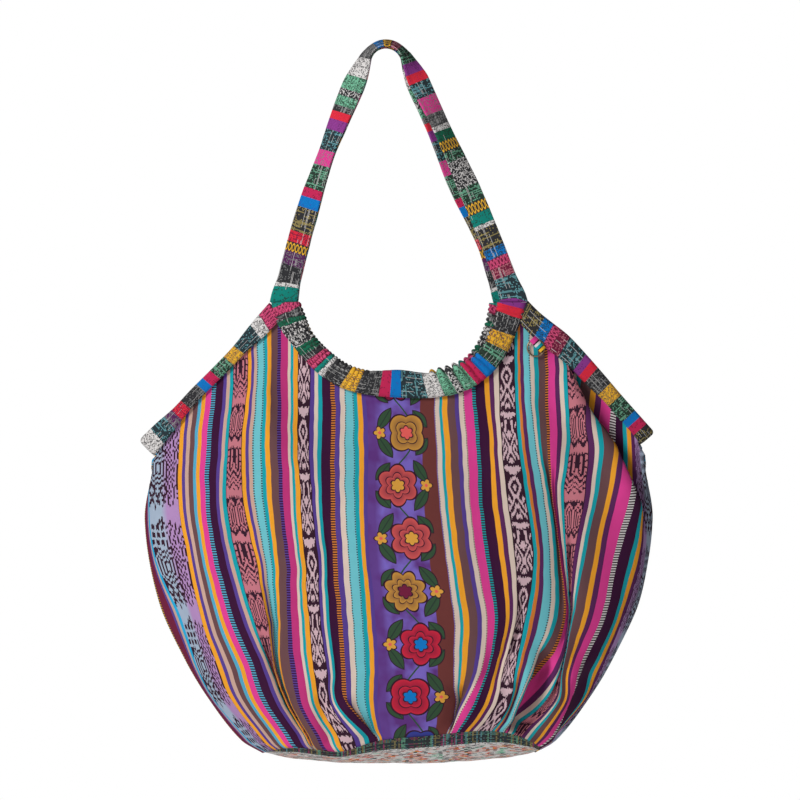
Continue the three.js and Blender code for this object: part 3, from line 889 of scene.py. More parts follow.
def panel_point(cloth, z, side, grooves):
    """A point of a panel's outer face."""
    across, group = cloth_across(cloth, z)
    x = across * half_width(z)
    below = flat_end_z(across * SHOULDER_OUT) - z
    belly = half_depth(z) * roundness(across)
    swell = smooth(below / mix(SWELL_MIDDLE, SWELL_SIDE, across**8))
    free = smooth(below / BINDING_LAP) * roundness(across)
    sewn = smooth((z - seam_z(across, side)) / SEAM_HOLD)
    pressed = groove_depth(x, z, grooves) + tuck_depth(group, z)
    slip_x = 0.0
    slip_z = 0.0
    if side == FRONT:
        lift, slide_x, slide_z = pleat_shape(x, z)
        slip_x, slip_z = crease_slip(x, z)
        slip_x += slide_x * free * sewn
        slip_z += slide_z * free * sewn
        pressed -= lift
    waves = wander(x / 34, z / 85, side * 3.0) + 0.4 * wander(x / 13, z / 30, 7.0)
    sway = CLOTH_SWAY * free * (wander(x / 45, z / 36, side * 5.0) + 0.5 * wander(x / 24, z / 13, 2.0))
    crumple = sizes().crumple / MM
    depth = mix(edge_depth(x), belly, swell) - free * sewn * (pressed + crumple * waves)
    shown_x = -side * (x + sway) + slip_x
    from_edge = cloth_edge_z(across * SHOULDER_OUT) - z
    rise = shoulder_shape(shown_x)[0] * smooth(1 - from_edge / SHOULDER_LIFT)
    shown_x, shown_z = under_tip(shown_x, z + rise + slip_z)
    return Vector((BODY_X + shown_x, side * max(0.7, depth), shown_z))


def seam_z(across, side):
    """The level of the seam between a panel and the base."""
    level = SEAM_TIP_Z + SEAM_RISE * (1 - across * across)
    if side == BACK:
        return level
    x = across * HALF_WIDTHS[0]
    return level + sum(rise * bell((x - place) / reach) for place, reach, rise in SEAM_WAVES)


def settle(cloth, level_at):
    """The level at which a warp line meets an edge."""
    z = MIDDLE_Z
    for _ in range(SETTLE_ROUNDS):
        across, _group = cloth_across(cloth, z)
        z = mix(z, level_at(across), 0.7)
    return z


# Meshes


def grid_piece(name, rows, cloth, thickness=0.0):
    """A piece of cloth from rows of points in mm, with the cloth's own places in mm as its UV map."""
    wide = len(rows[0])
    points = [point * MM for row in rows for point in row]
    places = [place for row in cloth for place in row]
    faces = []
    for i in range(len(rows) - 1):
        for j in range(wide - 1):
            corner = i * wide + j
            faces.append((corner, corner + 1, corner + wide + 1, corner + wide))
    mesh = bpy.data.meshes.new(name)
    mesh.from_pydata(points, [], faces)
    layer = mesh.uv_layers.new(name="cloth")
    corners = [0] * len(mesh.loops)
    mesh.loops.foreach_get("vertex_index", corners)
    layer.data.foreach_set("uv", [value for corner in corners for value in places[corner]])
    piece = bpy.data.objects.new(name, mesh)
    bpy.context.scene.collection.objects.link(piece)
    bpy.ops.object.select_all(action="DESELECT")
    piece.select_set(True)
    bpy.context.view_layer.objects.active = piece
    if thickness:
        wall = piece.modifiers.new("Cloth", "SOLIDIFY")
        wall.thickness = thickness
        wall.offset = -1
        bpy.ops.object.modifier_apply(modifier=wall.name)
    bpy.ops.object.shade_smooth()
    return piece


def dress(piece, node, material):
    """Lets a piece stand for its solid, in its finish."""
    piece.data.materials.clear()
    piece.data.materials.append(material)
    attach(piece, "root")
    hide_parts(node)


def band_lengths(stations):
    """The distance along a row of points, at each of them."""
    lengths = [0.0]
    for before, after in zip(stations, stations[1:]):
        lengths.append(lengths[-1] + (after - before).length)
    return lengths


# Materials


def paint(value):
    """A colour with its opacity, from a yarn's name, a grey or a colour."""
    if isinstance(value, str):
        value = getattr(bpy.context.scene.woven_bag_colours, value)
    elif isinstance(value, float):
        value = (value, value, value)
    return (*value, 1.0)


def sign_for(operation, turned=False):
    """A sum of one or two values, for one of the usual signs."""

    def work(self, *others):
        values = (*others, self) if turned else (self, *others)
        return self.finish.math(operation, *values)

    return work


class Value:
    """A number or colour that a material works out at each place, with the usual signs for sums."""

    def __init__(self, finish, socket):
        self.finish = finish
        self.socket = socket

    __add__ = sign_for("ADD")
    __sub__ = sign_for("SUBTRACT")
    __rsub__ = sign_for("SUBTRACT", turned=True)
    __mul__ = sign_for("MULTIPLY")
    __truediv__ = sign_for("DIVIDE")
    __mod__ = sign_for("MODULO")
    __lt__ = sign_for("LESS_THAN")
    __gt__ = sign_for("GREATER_THAN")
    __abs__ = sign_for("ABSOLUTE")
    floor = sign_for("FLOOR")
    fract = sign_for("FRACT")
    sine = sign_for("SINE")
    root = sign_for("SQRT")

    def between(self, low, high):
        """1 between two limits, else 0."""
        return (self > low) * (self < high)

    def held(self, low, high):
        """The value, kept between two limits."""
        return self.finish.math("MINIMUM", self.finish.math("MAXIMUM", self, low), high)


class Finish:
    """A material's nodes, with short ways of adding to them. A colour may be given as a yarn's name."""

    def __init__(self, name, looks):
        self.material = bpy.data.materials.new(name)
        self.material.use_nodes = True
        self.nodes = self.material.node_tree.nodes
        self.links = self.material.node_tree.links
        self.shader = self.nodes["Principled BSDF"]
        for label, value in looks.items():
            self.put(self.shader.inputs[label], value)

    def put(self, socket, value):
        """Links a socket to a value, or sets it."""
        if isinstance(value, Value):
            self.links.new(value.socket, socket)
        else:
            socket.default_value = paint(value) if socket.type == "RGBA" else value

    def add(self, kind, inputs, **settings):
        """One node, with values for its inputs by their labels or places."""
        node = self.nodes.new("ShaderNode" + kind)
        for name, setting in settings.items():
            setattr(node, name, setting)
        for label, value in inputs.items():
            self.put(node.inputs[label], value)
        return node

    def math(self, operation, *values):
        """One sum."""
        return Value(self, self.add("Math", dict(enumerate(values)), operation=operation).outputs[0])

    def blend(self, share, under, over):
        """One colour laid over another."""
        node = self.add("Mix", {0: share, 6: under, 7: over}, data_type="RGBA")
        return Value(self, node.outputs[2])

    def cloth(self):
        """The place across and along the cloth, in mm."""
        place = Value(self, self.add("UVMap", {}, uv_map="cloth").outputs[0])
        split = self.add("SeparateXYZ", {0: place})
        return Value(self, split.outputs[0]), Value(self, split.outputs[1])

    def pair(self, first, second):
        """Two numbers as one place."""
        return Value(self, self.add("CombineXYZ", {0: first, 1: second}).outputs[0])

    def random(self, first, second=0.0):
        """A random number for a pair of whole numbers."""
        node = self.add("TexWhiteNoise", {"Vector": self.pair(first, second)}, noise_dimensions="2D")
        return Value(self, node.outputs["Value"])

    def cloud(self, first, second, scale):
        """A soft random number."""
        node = self.add("TexNoise", {"Vector": self.pair(first, second), "Scale": scale, "Detail": 2})
        return Value(self, node.outputs["Fac"])

    def ramp(self, share, stops, interpolation="CONSTANT"):
        """Colours or greys along a share from 0 to 1, in a small group of nodes."""
        group = bpy.data.node_groups.new("colours", "ShaderNodeTree")
        group.interface.new_socket("share", in_out="INPUT", socket_type="NodeSocketFloat")
        group.interface.new_socket("colour", in_out="OUTPUT", socket_type="NodeSocketColor")
        entry = group.nodes.new("NodeGroupInput")
        end = group.nodes.new("NodeGroupOutput")
        node = group.nodes.new("ShaderNodeValToRGB")
        node.color_ramp.interpolation = interpolation
        points = node.color_ramp.elements
        points.remove(points[1])
        for i, (place, value) in enumerate(stops):
            point = points.new(place) if i else points[0]
            point.position = place
            point.color = paint(value)
        group.links.new(entry.outputs[0], node.inputs[0])
        group.links.new(node.outputs[0], end.inputs[0])
        return Value(self, self.add("Group", {0: share}, node_tree=group).outputs[0])

    def bands(self, place, rows):
        """Bands of colours or greys from rows of width and value. A long row of bands takes several ramps."""
        start = 0.0
        result = None
        for first in range(0, len(rows), RAMP_ROWS):
            part = rows[first : first + RAMP_ROWS]
            edges = list(accumulate((width for width, _value in part), initial=0.0))
            stops = [(edge / edges[-1], value) for edge, (_width, value) in zip(edges, part)]
            colour = self.ramp((place - start) / edges[-1], stops)
            result = self.blend(place > start, result, colour) if first else colour
            start += edges[-1]
        return result

    def weave(self, across, along, height):
        """A fine weave in the surface."""
        warp = (across * (FULL_TURN / WARP_PITCH)).sine()
        weft = (along * (FULL_TURN / WEFT_PITCH)).sine()
        bump = self.add("Bump", {"Strength": 0.5, "Distance": height, "Height": warp * weft})
        self.links.new(bump.outputs[0], self.shader.inputs["Normal"])

    def done(self, colour):
        """The material, with its colour."""
        self.put(self.shader.inputs["Base Color"], colour)
        return self.material


def soft_cloth(name, sheen):
    """A matt cloth."""
    matt = {"Roughness": 0.9, "Specular IOR Level": 0.18, "Sheen Weight": sheen, "Sheen Roughness": 0.6}
    return Finish(name, matt)


def figure_mask(finish, across, along, pair):
    """Where the undyed yarn of a pair of ikat bands shows, and the place across the band."""
    left, right, figure, margin, left_repeat, right_repeat, left_start, right_start, _outer, _inner = pair
    at_right = across > stripe_start(right) - 1

    def by_side(at_left, beyond):
        return at_right * (beyond - at_left) + at_left

    outer_edge = by_side(stripe_start(left), stripe_start(right) + stripe_width(right))
    drift = (across - outer_edge) / by_side(stripe_width(left), -stripe_width(right))
    yarn = (across / IKAT_YARN).floor()
    patch = (along / SLIP_PATCH).floor()
    slid = along + (finish.random(yarn, patch) * PATCH_SLIP + finish.random(yarn, 3.0) * YARN_SLIP)
    turn = (slid - by_side(left_start, right_start)) / by_side(left_repeat, right_repeat)
    row = turn.fract() * len(figure)
    steps = len(figure[0])
    if margin:
        column = (abs(drift - 0.5) * (2 * (steps + margin))).floor()
    else:
        column = (drift * steps).floor()
    mask = 0.0
    for step in range(steps):
        runs = [(len(list(run)), float(mark == "#")) for mark, run in groupby(line[step] for line in figure)]
        here = finish.math("COMPARE", column, float(step), 0.5)
        mask = finish.blend(here, mask, finish.bands(row, runs))
    return finish.blend(drift.between(0.0, 1.0), 0.0, mask), drift


def distance(x, y):
    """How far a place is from the middle."""
    return (x * x + y * y).root()


def flower(x, y, radius, petals, depth):
    """How far inside a round flower with petals a place is: 0 in the middle and 1 at its edge."""
    petal = abs((x.finish.math("ARCTAN2", y, x) * petals).sine())
    return distance(x, y) / ((petal * depth + (1 - depth)) * radius)


def folk_band(finish, across, along):
    """The wide middle band: round flowers, leaves and a winding stem on a violet ground."""
    x = across - (stripe_start("folk_band") + stripe_width("folk_band") / 2)
    number = (along / FLOWER_STEP).floor()
    y = along - number * FLOWER_STEP - FLOWER_STEP / 2
    turned = x * (1.0 - number % 2.0 * 2.0)

    colour = finish.ramp(finish.cloud(x, along, 0.05), [(0.34, "grape"), (0.58, "iris")], "LINEAR")
    colour = finish.blend(((abs(x) - 20.0) * 0.12).held(0.0, 0.8), colour, "grape")
    colour = finish.blend(x > 19.5, colour, "russet")
    bend = (along * (math.pi / FLOWER_STEP)).sine() * 13.0
    colour = finish.blend(abs(x - bend) < 0.9, colour, "pine")

    for reach, tilt, side in ((13.0, 0.6, -17.0), (11.0, -0.7, 19.0)):
        leaf_x = turned - side
        leaf_y = abs(y) - 13.0
        long = (leaf_x * math.sin(tilt) + leaf_y * math.cos(tilt)) / reach
        wide = abs(leaf_x * math.cos(tilt) - leaf_y * math.sin(tilt))
        room = (1.0 - long * long) * 5.6
        inner = wide < room - 0.9
        for part, yarn in ((wide < room, "ink"), (inner, "pine"), (inner * (wide < 0.5), "moss")):
            colour = finish.blend(part, colour, yarn)

    places = [i / 12 for i in range(len(PETAL_YARNS))]
    petal = finish.ramp(number / 12.0, list(zip(places, PETAL_YARNS)))
    heart = finish.ramp(number / 12.0, list(zip(places, HEART_YARNS)))
    petals = (finish.random(number) * 3.0).floor() + 2.0
    bloom_x = turned - 5.0
    for radius, depth in ((20.5, 0.24), (12.5, 0.3)):
        inside = flower(bloom_x, y, radius, petals, depth)
        body = finish.blend((1.15 - inside).held(0.0, 0.55), petal, "aubergine")
        body = finish.blend(inside > 0.92, body, "ink")
        colour = finish.blend(inside < 1.0, colour, body)
    middle = flower(bloom_x, y, 6.4, 3.0, 0.3)
    small = flower(turned + 22.0, y, 6.0, 2.5, 0.45)
    rings = [(middle, 1.15, "ink"), (middle, 0.95, heart), (small, 1.15, "ink"), (small, 0.95, "gold"),
             (small, 0.3, "coral")]
    for inside, limit, yarn in rings:
        colour = finish.blend(inside < limit, colour, yarn)
    return colour


def striped_cloth():
    """The body's cloth: warp stripes, picks of two yarns, ikat bands and the wide middle band."""
    finish = soft_cloth("striped cloth", 0.0)
    across, along = finish.cloth()
    first = finish.bands(across, [(width, yarns[0]) for width, *yarns in WARP])
    second = finish.bands(across, [(width, yarns[-1]) for width, *yarns in WARP])
    colour = finish.blend((along / PICK).fract() > 0.5, first, second)
    for pair in IKAT_BANDS:
        mask, drift = figure_mask(finish, across, along, pair)
        outer, inner = pair[-2:]
        tone = outer if outer == inner else finish.ramp(drift, [(0.42, outer), (0.62, inner)], "LINEAR")
        colour = finish.blend(mask, colour, tone)
    start = stripe_start("folk_band")
    middle = across.between(start, start + stripe_width("folk_band"))
    colour = finish.blend(middle, colour, folk_band(finish, across, along))
    fade = finish.cloud(across, along, 0.09) * 0.22
    colour = finish.blend(fade, colour, finish.blend(0.5, colour, "aubergine"))
    finish.weave(across, along, 0.0003)
    return finish.done(colour)


def binding_cloth(name, rows):
    """The bindings' cloth: flecked weft bands with pale lengthwise lines and chains."""
    finish = soft_cloth(name, 0.03)
    across, along = finish.cloth()
    kinds = [(length, *WEFT_KINDS[kind]) for kind, length in rows]
    ground, fleck, share, lines = (
        finish.bands(along, [(row[0], row[column]) for row in kinds]) for column in range(1, 5))
    thread = (across / WARP_PITCH).floor()
    pick = along.floor()
    likely = ((thread + pick) % 2.0 * 1.2 + 0.4) * share
    flecked = finish.random(thread, pick) < likely
    colour = finish.blend(flecked * 0.85, ground, fleck)
    chosen = finish.random(thread, 9.0) < 0.2
    shown = finish.random(thread, (along / 6.0).floor()) < lines
    thin = (across / WARP_PITCH).fract().between(0.2, 0.75)
    colour = finish.blend(chosen * shown * (thin * 0.6), colour, "white")
    chosen = finish.random(pick, 4.0) < 0.26
    shown = finish.random(pick, (across / 5.0).floor()) < lines
    colour = finish.blend(chosen * shown * 0.6, colour, fleck)
    start = 0.0
    for length, _ground, yarn, _share, _lines, chained in kinds:
        if chained:
            away = distance((across / 3.4).fract() - 0.5, (along - start) / length - 0.5)
            colour = finish.blend(away.between(0.28, 0.46), colour, yarn)
        start += length
    finish.weave(across, along, 0.0006)
    return finish.done(colour)


def base_cloth():
    """The base's cloth: dark plaid beside the seam, then a pale line and softly dyed flecks."""
    finish = soft_cloth("base cloth", 0.03)
    across, along = finish.cloth()
    from_seam = along + (finish.cloud(across, along, 0.06) - 0.5) * 7.0
    thread = (across / 1.3).floor()
    pick = (along / 0.9).floor()
    chance = finish.random(thread, pick)

    dark = [(0.0, "moss"), (0.42, "slate"), (0.56, "charcoal")]
    plaid = finish.ramp(finish.cloud(across, along, 0.035), dark, "LINEAR")
    bright = [(0.0, "khaki"), (0.3, "mint"), (0.55, "steel"), (0.8, "magenta")]
    yarns = finish.ramp(finish.random(thread, 7.0), bright)
    line = finish.math("MAXIMUM", finish.random(thread, 2.0) < 0.3, finish.random(pick, 5.0) < 0.3)
    plaid = finish.blend(line * (chance < 0.7) * 0.6, plaid, yarns)

    fleck = finish.random((across / 3.4 + finish.random(pick, 1.0)).floor(), pick)
    dyed = [(0.36, "mint"), (0.42, "white"), (0.5, "tan"), (0.55, "coral"), (0.6, "gold"), (0.66, "rose")]
    flecks = finish.ramp(finish.cloud(across, along * 1.8, 0.05), dyed, "LINEAR")
    for share, yarn in ((0.62, "white"), (0.24, "ash"), (0.14, "charcoal")):
        flecks = finish.blend(fleck < share, flecks, yarn)

    pale = finish.blend(chance < 0.3, "white", "ash")
    colour = finish.blend(from_seam > 19.0, plaid, pale)
    colour = finish.blend(from_seam > 22.0, colour, flecks)
    finish.weave(across, along, 0.0007)
    return finish.done(colour)


def loop_cloth():
    """The narrow stripes of the ring's loop."""
    finish = soft_cloth("loop cloth", 0.0)
    across, along = finish.cloth()
    finish.weave(across, along, 0.0003)
    return finish.done(finish.bands(across, LOOP_STRIPES))


def bronze():
    """Dull bronze wire."""
    return Finish("bronze wire", {"Roughness": 0.42, "Metallic": 1.0}).done(linear((150, 132, 108)))


# Pieces


def body_panel(node, side, grooves, material):
    """One gathered panel of the body."""
    rows = [[] for _ in range(PANEL_ROWS + 1)]
    cloth = [[] for _ in range(PANEL_ROWS + 1)]
    step = CLOTH_WIDTH / PANEL_COLUMNS
    for j in range(PANEL_COLUMNS + 1):
        place = j * step
        top = settle(place, lambda across: cloth_edge_z(across * SHOULDER_OUT))
        low = settle(place, lambda across: seam_z(across, side))
        for i in range(PANEL_ROWS + 1):
            z = mix(low, top, i / PANEL_ROWS)
            rows[i].append(panel_point(place, z, side, grooves))
            cloth[i].append((place, CORNER_Z - z))
    piece = grid_piece(node + "_cloth", rows, cloth, sizes().cloth)
    dress(piece, node, material)


class BAG_OT_body(bpy.types.Operator):
    """Make the two gathered panels of the body"""

    bl_idname = "bag.body"
    bl_label = "Body Panels"

    def execute(self, context):
        material = striped_cloth()
        body_panel("front_panel", FRONT, FRONT_GROOVES, material)
        body_panel("back_panel", BACK, BACK_GROOVES, material)
        return {"FINISHED"}


class BAG_OT_base(bpy.types.Operator):
    """Make the boat-shaped base"""

    bl_idname = "bag.base"
    bl_label = "Base"

    def execute(self, context):
        rows = []
        for i in range(BASE_STEPS + 1):
            share = 2 * i / BASE_STEPS - 1
            slack = 1 - share * share
            side = FRONT if share < 0 else BACK
            row = []
            for j in range(BASE_COLUMNS + 1):
                across = -math.sin((2 * j / BASE_COLUMNS - 1) * math.pi / 2) * 0.985
                rim = mix(seam_z(across, BACK), seam_z(across, side), abs(share) ** 1.5)
                x = across * half_width(rim)
                y = share * (half_depth(rim) * roundness(across) - 0.8)
                sag = (BASE_SAG + 2) * (1 - across * across) * slack
                puff = 0.9 * wander(x / 16, y / 12, 2.0) * slack
                row.append(Vector((BODY_X + x, y, rim + 1.2 - sag + puff)))
            rows.append(row)
        middle = band_lengths([row[BASE_COLUMNS // 2] for row in rows])
        from_seam = [min(place, middle[-1] - place) for place in middle]
        cloth = [[(point.x, place) for point in row] for row, place in zip(rows, from_seam)]
        piece = grid_piece("base_cloth", rows, cloth, sizes().cloth)
        dress(piece, "base_panel", base_cloth())
        return {"FINISHED"}


def edge_normal(x, side):
    """Which way a bound edge faces."""
    slope = edge_depth(x + 0.5) - edge_depth(x - 0.5)
    return Vector((-slope * side, 1, 0)).normalized() * side


def channel(width, height, lip):
    """A binding's section from back hem over the fold to front hem: share of the width down, height."""
    turn = [math.pi * k / 8 for k in range(9)]
    down = [1.0, 0.8, 0.55, 0.3]
    back = [(share, -height * (1 - 0.25 * share**4)) for share in down]
    fold = [(0.14 - (0.14 + lip / width) * math.sin(angle), -height * math.cos(angle)) for angle in turn]
    front = [(share, height * (1 - 0.25 * share**4)) for share in reversed(down)]
    return back + fold + front


def mouth_binding(side):
    """The ruched binding round the mouth, on one side of the bag."""
    power = 2 / SCOOP_ROUNDNESS
    section = channel(MOUTH_WIDTH, MOUTH_HEIGHT, MOUTH_LIP)
    widths = band_lengths([Vector((share * MOUTH_WIDTH, height, 0)) for share, height in section])
    stations = []
    for i in range(MOUTH_STATIONS + 1):
        angle = math.pi * i / MOUTH_STATIONS
        across = -math.copysign(abs(math.cos(angle)) ** power, math.cos(angle))
        down = math.sin(angle) ** power
        inward = BACK_INWARD * smooth(2 * across) if side == BACK else 0
        edge = Vector((across * SCOOP_HALF_WIDTH - inward, 0, CORNER_Z - down * SCOOP_DEPTH))
        far_x = across * scoop_half_width(MOUTH_WIDTH) - inward
        far = Vector((far_x, 0, CORNER_Z - down * (SCOOP_DEPTH + MOUTH_WIDTH)))
        stations.append((edge, far))
    lengths = band_lengths([edge.lerp(far, 0.8) for edge, far in stations])
    total = lengths[-1]
    cloth_length = sum(length for _kind, length in MOUTH_BANDS) - MOUTH_BANDS[0][1] - MOUTH_BANDS[-1][1] / 2
    rows = []
    cloth = []
    rib_turn = 0.0
    before = 0.0
    for (edge, far), place in zip(stations, lengths):
        along = place / total
        rib_turn += FULL_TURN * curve_through(RUCHING_PLACES, RIB_COUNTS, along) / 100 * (place - before)
        before = place
        height_here = sizes().ruching / MM * curve_through(RUCHING_PLACES, RIB_HEIGHTS, along)
        slant = 0.36 * (1 - smooth(place / 28)) - 0.2 * (1 - smooth((total - place) / 28))
        fold = curve_through(HANG_PLACES, FOLD_SHARES, along)
        hem = curve_through(HANG_PLACES, HEM_SHARES, along)
        row = []
        places = []
        for (share, height), width in zip(section, widths):
            twist = 1.6 * wander(place / 20, share * 1.6, side * 4.0)
            rib = height_here * (1 + math.sin(rib_turn + twist)) * (1 - 0.5 * share)
            bulge = math.copysign(rib, height) if abs(height) > 0.4 else 0
            at = edge.lerp(far, mix(fold, hem, share) - rib * 0.05 * max(0.0, 1 - share / 0.3))
            point = Vector((BODY_X + at.x, side * edge_depth(at.x), at.z))
            row.append(point + edge_normal(at.x, side) * (height + bulge))
            reached = MOUTH_BANDS[0][1] + along * cloth_length + slant * (0.5 - share) * MOUTH_END_WIDTH
            places.append((width, reached if side == FRONT else cloth_length + MOUTH_BANDS[0][1] - reached))
        rows.append(row if side == BACK else row[::-1])
        cloth.append(places if side == BACK else places[::-1])
    piece = grid_piece("mouth_cloth", rows, cloth, sizes().binding)
    return piece, widths[-1], total


class BAG_OT_mouth(bpy.types.Operator):
    """Make the ruched bindings of the mouth"""

    bl_idname = "bag.mouth"
    bl_label = "Mouth Bindings"

    def execute(self, context):
        material = binding_cloth("mouth binding cloth", MOUTH_BANDS)
        for node, side in (("mouth_binding_front", FRONT), ("mouth_binding_back", BACK)):
            piece, width, length = mouth_binding(side)
            dress(piece, node, material)
        return {"FINISHED"}


def shoulder_binding(hand):
    """The binding of one shoulder, from the front strap over the side to the back strap."""
    start = scoop_half_width(MOUTH_WIDTH) + 0.6
    tip = SHOULDER_TIPS[hand]
    section = channel(SHOULDER_WIDTH, SHOULDER_HEIGHT, SHOULDER_LIP)
    rows = []

    def corner(share_along, share_down):
        top_x = mix(start, tip, share_along)
        rise, width = shoulder_shape(hand * top_x)
        low_x = mix(start - SHOULDER_SLANT, tip + SHOULDER_DOWN.x * width, share_along)
        top = shoulder_z(top_x, 0) + rise
        low = shoulder_z(low_x, width) + shoulder_shape(hand * low_x)[0]
        return mix(top_x, low_x, share_down), mix(top, low, share_down)

    def flat_row(share_along, side):
        row = []
        for share_down, height in section:
            x, z = corner(share_along, share_down)
            slack = 0.7 * wander(share_along * 8, share_down * 1.4, hand * 2.0 + side)
            row.append(Vector((x, side * edge_depth(x), z)) + edge_normal(x, side) * (height + slack))
        return row

    for i in range(SHOULDER_STATIONS + 1):
        rows.append(flat_row(i / SHOULDER_STATIONS, FRONT))
    for i in range(1, TURN_STATIONS):
        angle = math.pi * i / TURN_STATIONS
        normal = SHOULDER_OUTWARD * math.sin(angle) + Vector((0, -math.cos(angle), 0))
        row = []
        for share_down, height in section:
            x, z = corner(1.0, share_down)
            row.append(Vector((x, 0, z)) + normal * (SHOULDER_TURN + height))
        rows.append(row)
    for i in range(SHOULDER_STATIONS, -1, -1):
        rows.append(flat_row(i / SHOULDER_STATIONS, BACK))
    rows = [[Vector((BODY_X + hand * point.x, point.y, point.z)) for point in row] for row in rows]
    middle_line = band_lengths([row[-2] for row in rows])
    widths = band_lengths([Vector((share * SHOULDER_WIDTH, height, 0)) for share, height in section])
    cloth = [[(width, min(place, middle_line[-1] - place)) for width in widths] for place in middle_line]
    if hand > 0:
        rows = [row[::-1] for row in rows]
        cloth = [row[::-1] for row in cloth]
    piece = grid_piece("shoulder_cloth", rows, cloth, sizes().binding)
    mean_width = sum(SHOULDER_LINES[hand][2]) / len(SHOULDER_LINES[hand][2])
    return piece, widths[-1] * mean_width / SHOULDER_WIDTH, middle_line[-1]


class BAG_OT_shoulders(bpy.types.Operator):
    """Make the bindings of the two shoulders"""

    bl_idname = "bag.shoulders"
    bl_label = "Shoulder Bindings"

    def execute(self, context):
        shoulders = (("left", -1, LEFT_SHOULDER_BANDS), ("right", 1, RIGHT_SHOULDER_BANDS))
        for name, hand, rows in shoulders:
            node = "shoulder_binding_" + name
            piece, width, length = shoulder_binding(hand)
            dress(piece, node, binding_cloth(node + " cloth", rows))
        return {"FINISHED"}


def strap_bow(side, hand, share):
    """How far a strap's leg bows to the right of the straight line from its foot to its top."""
    if hand < 0:
        return -7 * math.sin(math.pi * share)
    if side == FRONT:
        return 4.4 * math.sin(math.pi * share)
    return 5 * bell((share - 0.26) / 0.15)


def strap_stations(side):
    """The middle line of a strap from its left foot to its right foot, with the way that its width points."""
    arch_z = -ARCH_INNER
    feet = STRAP_FEET[side]

    def tilt_at(z):
        return ARCH_TILT * smooth((z + 45) / 50)

    def arch_radius(tilt):
        return ARCH_INNER + 0.3 + STRAP_WIDTH / 2 * math.cos(tilt) + STRAP_THICKNESS / 2 * math.sin(tilt)

    tangent = arch_radius(tilt_at(arch_z + ARCH_INNER / 2))

    def lean_of(foot):
        away = abs(BODY_X + foot)
        up = arch_z - CORNER_Z
        return math.atan2(away, up) - math.asin(tangent / math.hypot(away, up))

    def leg(foot, hand):
        lean = lean_of(foot)
        foot_x = BODY_X + foot
        foot_z = CORNER_Z + 0.3
        top_x = hand * tangent * math.cos(lean)
        top_z = arch_z + tangent * math.sin(lean)
        most_twist, high = (0.78, 0.6) if hand < 0 else (0.68, 0.7)
        stations = []
        for i in range(LEG_STEPS + 1):
            share = i / LEG_STEPS
            z = mix(foot_z, top_z, share)
            turn = lean * smooth(share * 40)
            twist = most_twist * bell((share - high) / 0.22)
            y = side * mix(EDGE_DEPTH_CORNER, STRAP_TOP_DEPTH, share)
            middle = Vector((mix(foot_x, top_x, share) + strap_bow(side, hand, share), y, z))
            outward = Vector((hand * math.cos(turn), 0, math.sin(turn)))
            stations.append((middle, outward, max(twist, tilt_at(z))))
        return stations

    left = leg(feet[0], -1)
    right = leg(feet[1], 1)
    arch = []
    for i in range(1, ARCH_STEPS):
        angle = mix(math.pi - lean_of(feet[0]), lean_of(feet[1]), i / ARCH_STEPS)
        tilt = tilt_at(arch_z + tangent * math.sin(angle))
        radius = arch_radius(tilt)
        middle = Vector((radius * math.cos(angle), side * STRAP_TOP_DEPTH, arch_z + radius * math.sin(angle)))
        arch.append((middle, Vector((math.cos(angle), 0, math.sin(angle))), tilt))
    return left + arch + right[::-1]


def strap_section():
    """A strap's rounded section, once round: shares of half its width and of half its thickness."""
    section = []
    for k in range(STRAP_SIDES + 1):
        angle = FULL_TURN * k / STRAP_SIDES
        wide = math.copysign(abs(math.cos(angle)) ** 0.42, math.cos(angle))
        thick = math.copysign(abs(math.sin(angle)) ** 0.7, math.sin(angle))
        section.append((wide, thick))
    return section


def strap(side):
    """One flat strap of folded cloth."""
    half_wide = STRAP_WIDTH / 2
    half_thick = STRAP_THICKNESS / 2
    section = strap_section()
    around = band_lengths([Vector((wide * half_wide, thick * half_thick, 0)) for wide, thick in section])
    stations = strap_stations(side)
    lengths = band_lengths([station[0] for station in stations])
    total = lengths[-1]
    scale = sum(length for _kind, length in STRAP_BANDS) / total
    rows = []
    cloth = []
    for (middle, outward, tilt), place in zip(stations, lengths):
        across = outward * math.cos(tilt) + Vector((0, math.sin(tilt), 0))
        normal = outward * math.sin(tilt) + Vector((0, -math.cos(tilt), 0))
        from_foot = min(place, total - place)
        slant = math.copysign(0.4 * (1 - smooth(from_foot / 34)), total / 2 - place)
        row = []
        places = []
        for k, ((wide, thick), width) in enumerate(zip(section, around)):
            quilt = 0.82 + 0.18 * math.cos(wide * 5.2)
            quilt += 0.12 * wander(place / 16, wide * 1.5, side * 2.0 + (k > STRAP_SIDES / 2))
            edge = 1 + 0.03 * wander(place / 20, math.copysign(3.0, wide), side * 1.0)
            edge += 0.22 * smooth(1 - from_foot / 26)
            row.append(middle + across * (wide * half_wide * edge) + normal * (thick * half_thick * quilt))
            reached = place + slant * wide * half_wide if side == FRONT else total - place
            places.append((width, reached * scale))
        rows.append(row)
        cloth.append(places)
    piece = grid_piece("strap_cloth", rows, cloth)
    bpy.ops.object.mode_set(mode="EDIT")
    bpy.ops.mesh.select_all(action="SELECT")
    bpy.ops.mesh.remove_doubles(threshold=0.00002)
    bpy.ops.mesh.fill_holes(sides=0)
    bpy.ops.mesh.normals_make_consistent(inside=False)
    bpy.ops.object.mode_set(mode="OBJECT")
    return piece, total


class BAG_OT_straps(bpy.types.Operator):
    """Make the two straps"""

    bl_idname = "bag.straps"
    bl_label = "Straps"

    def execute(self, context):
        material = binding_cloth("strap cloth", STRAP_BANDS)
        for node, side in (("strap_front", FRONT), ("strap_back", BACK)):
            piece, length = strap(side)
            dress(piece, node, material)
        return {"FINISHED"}


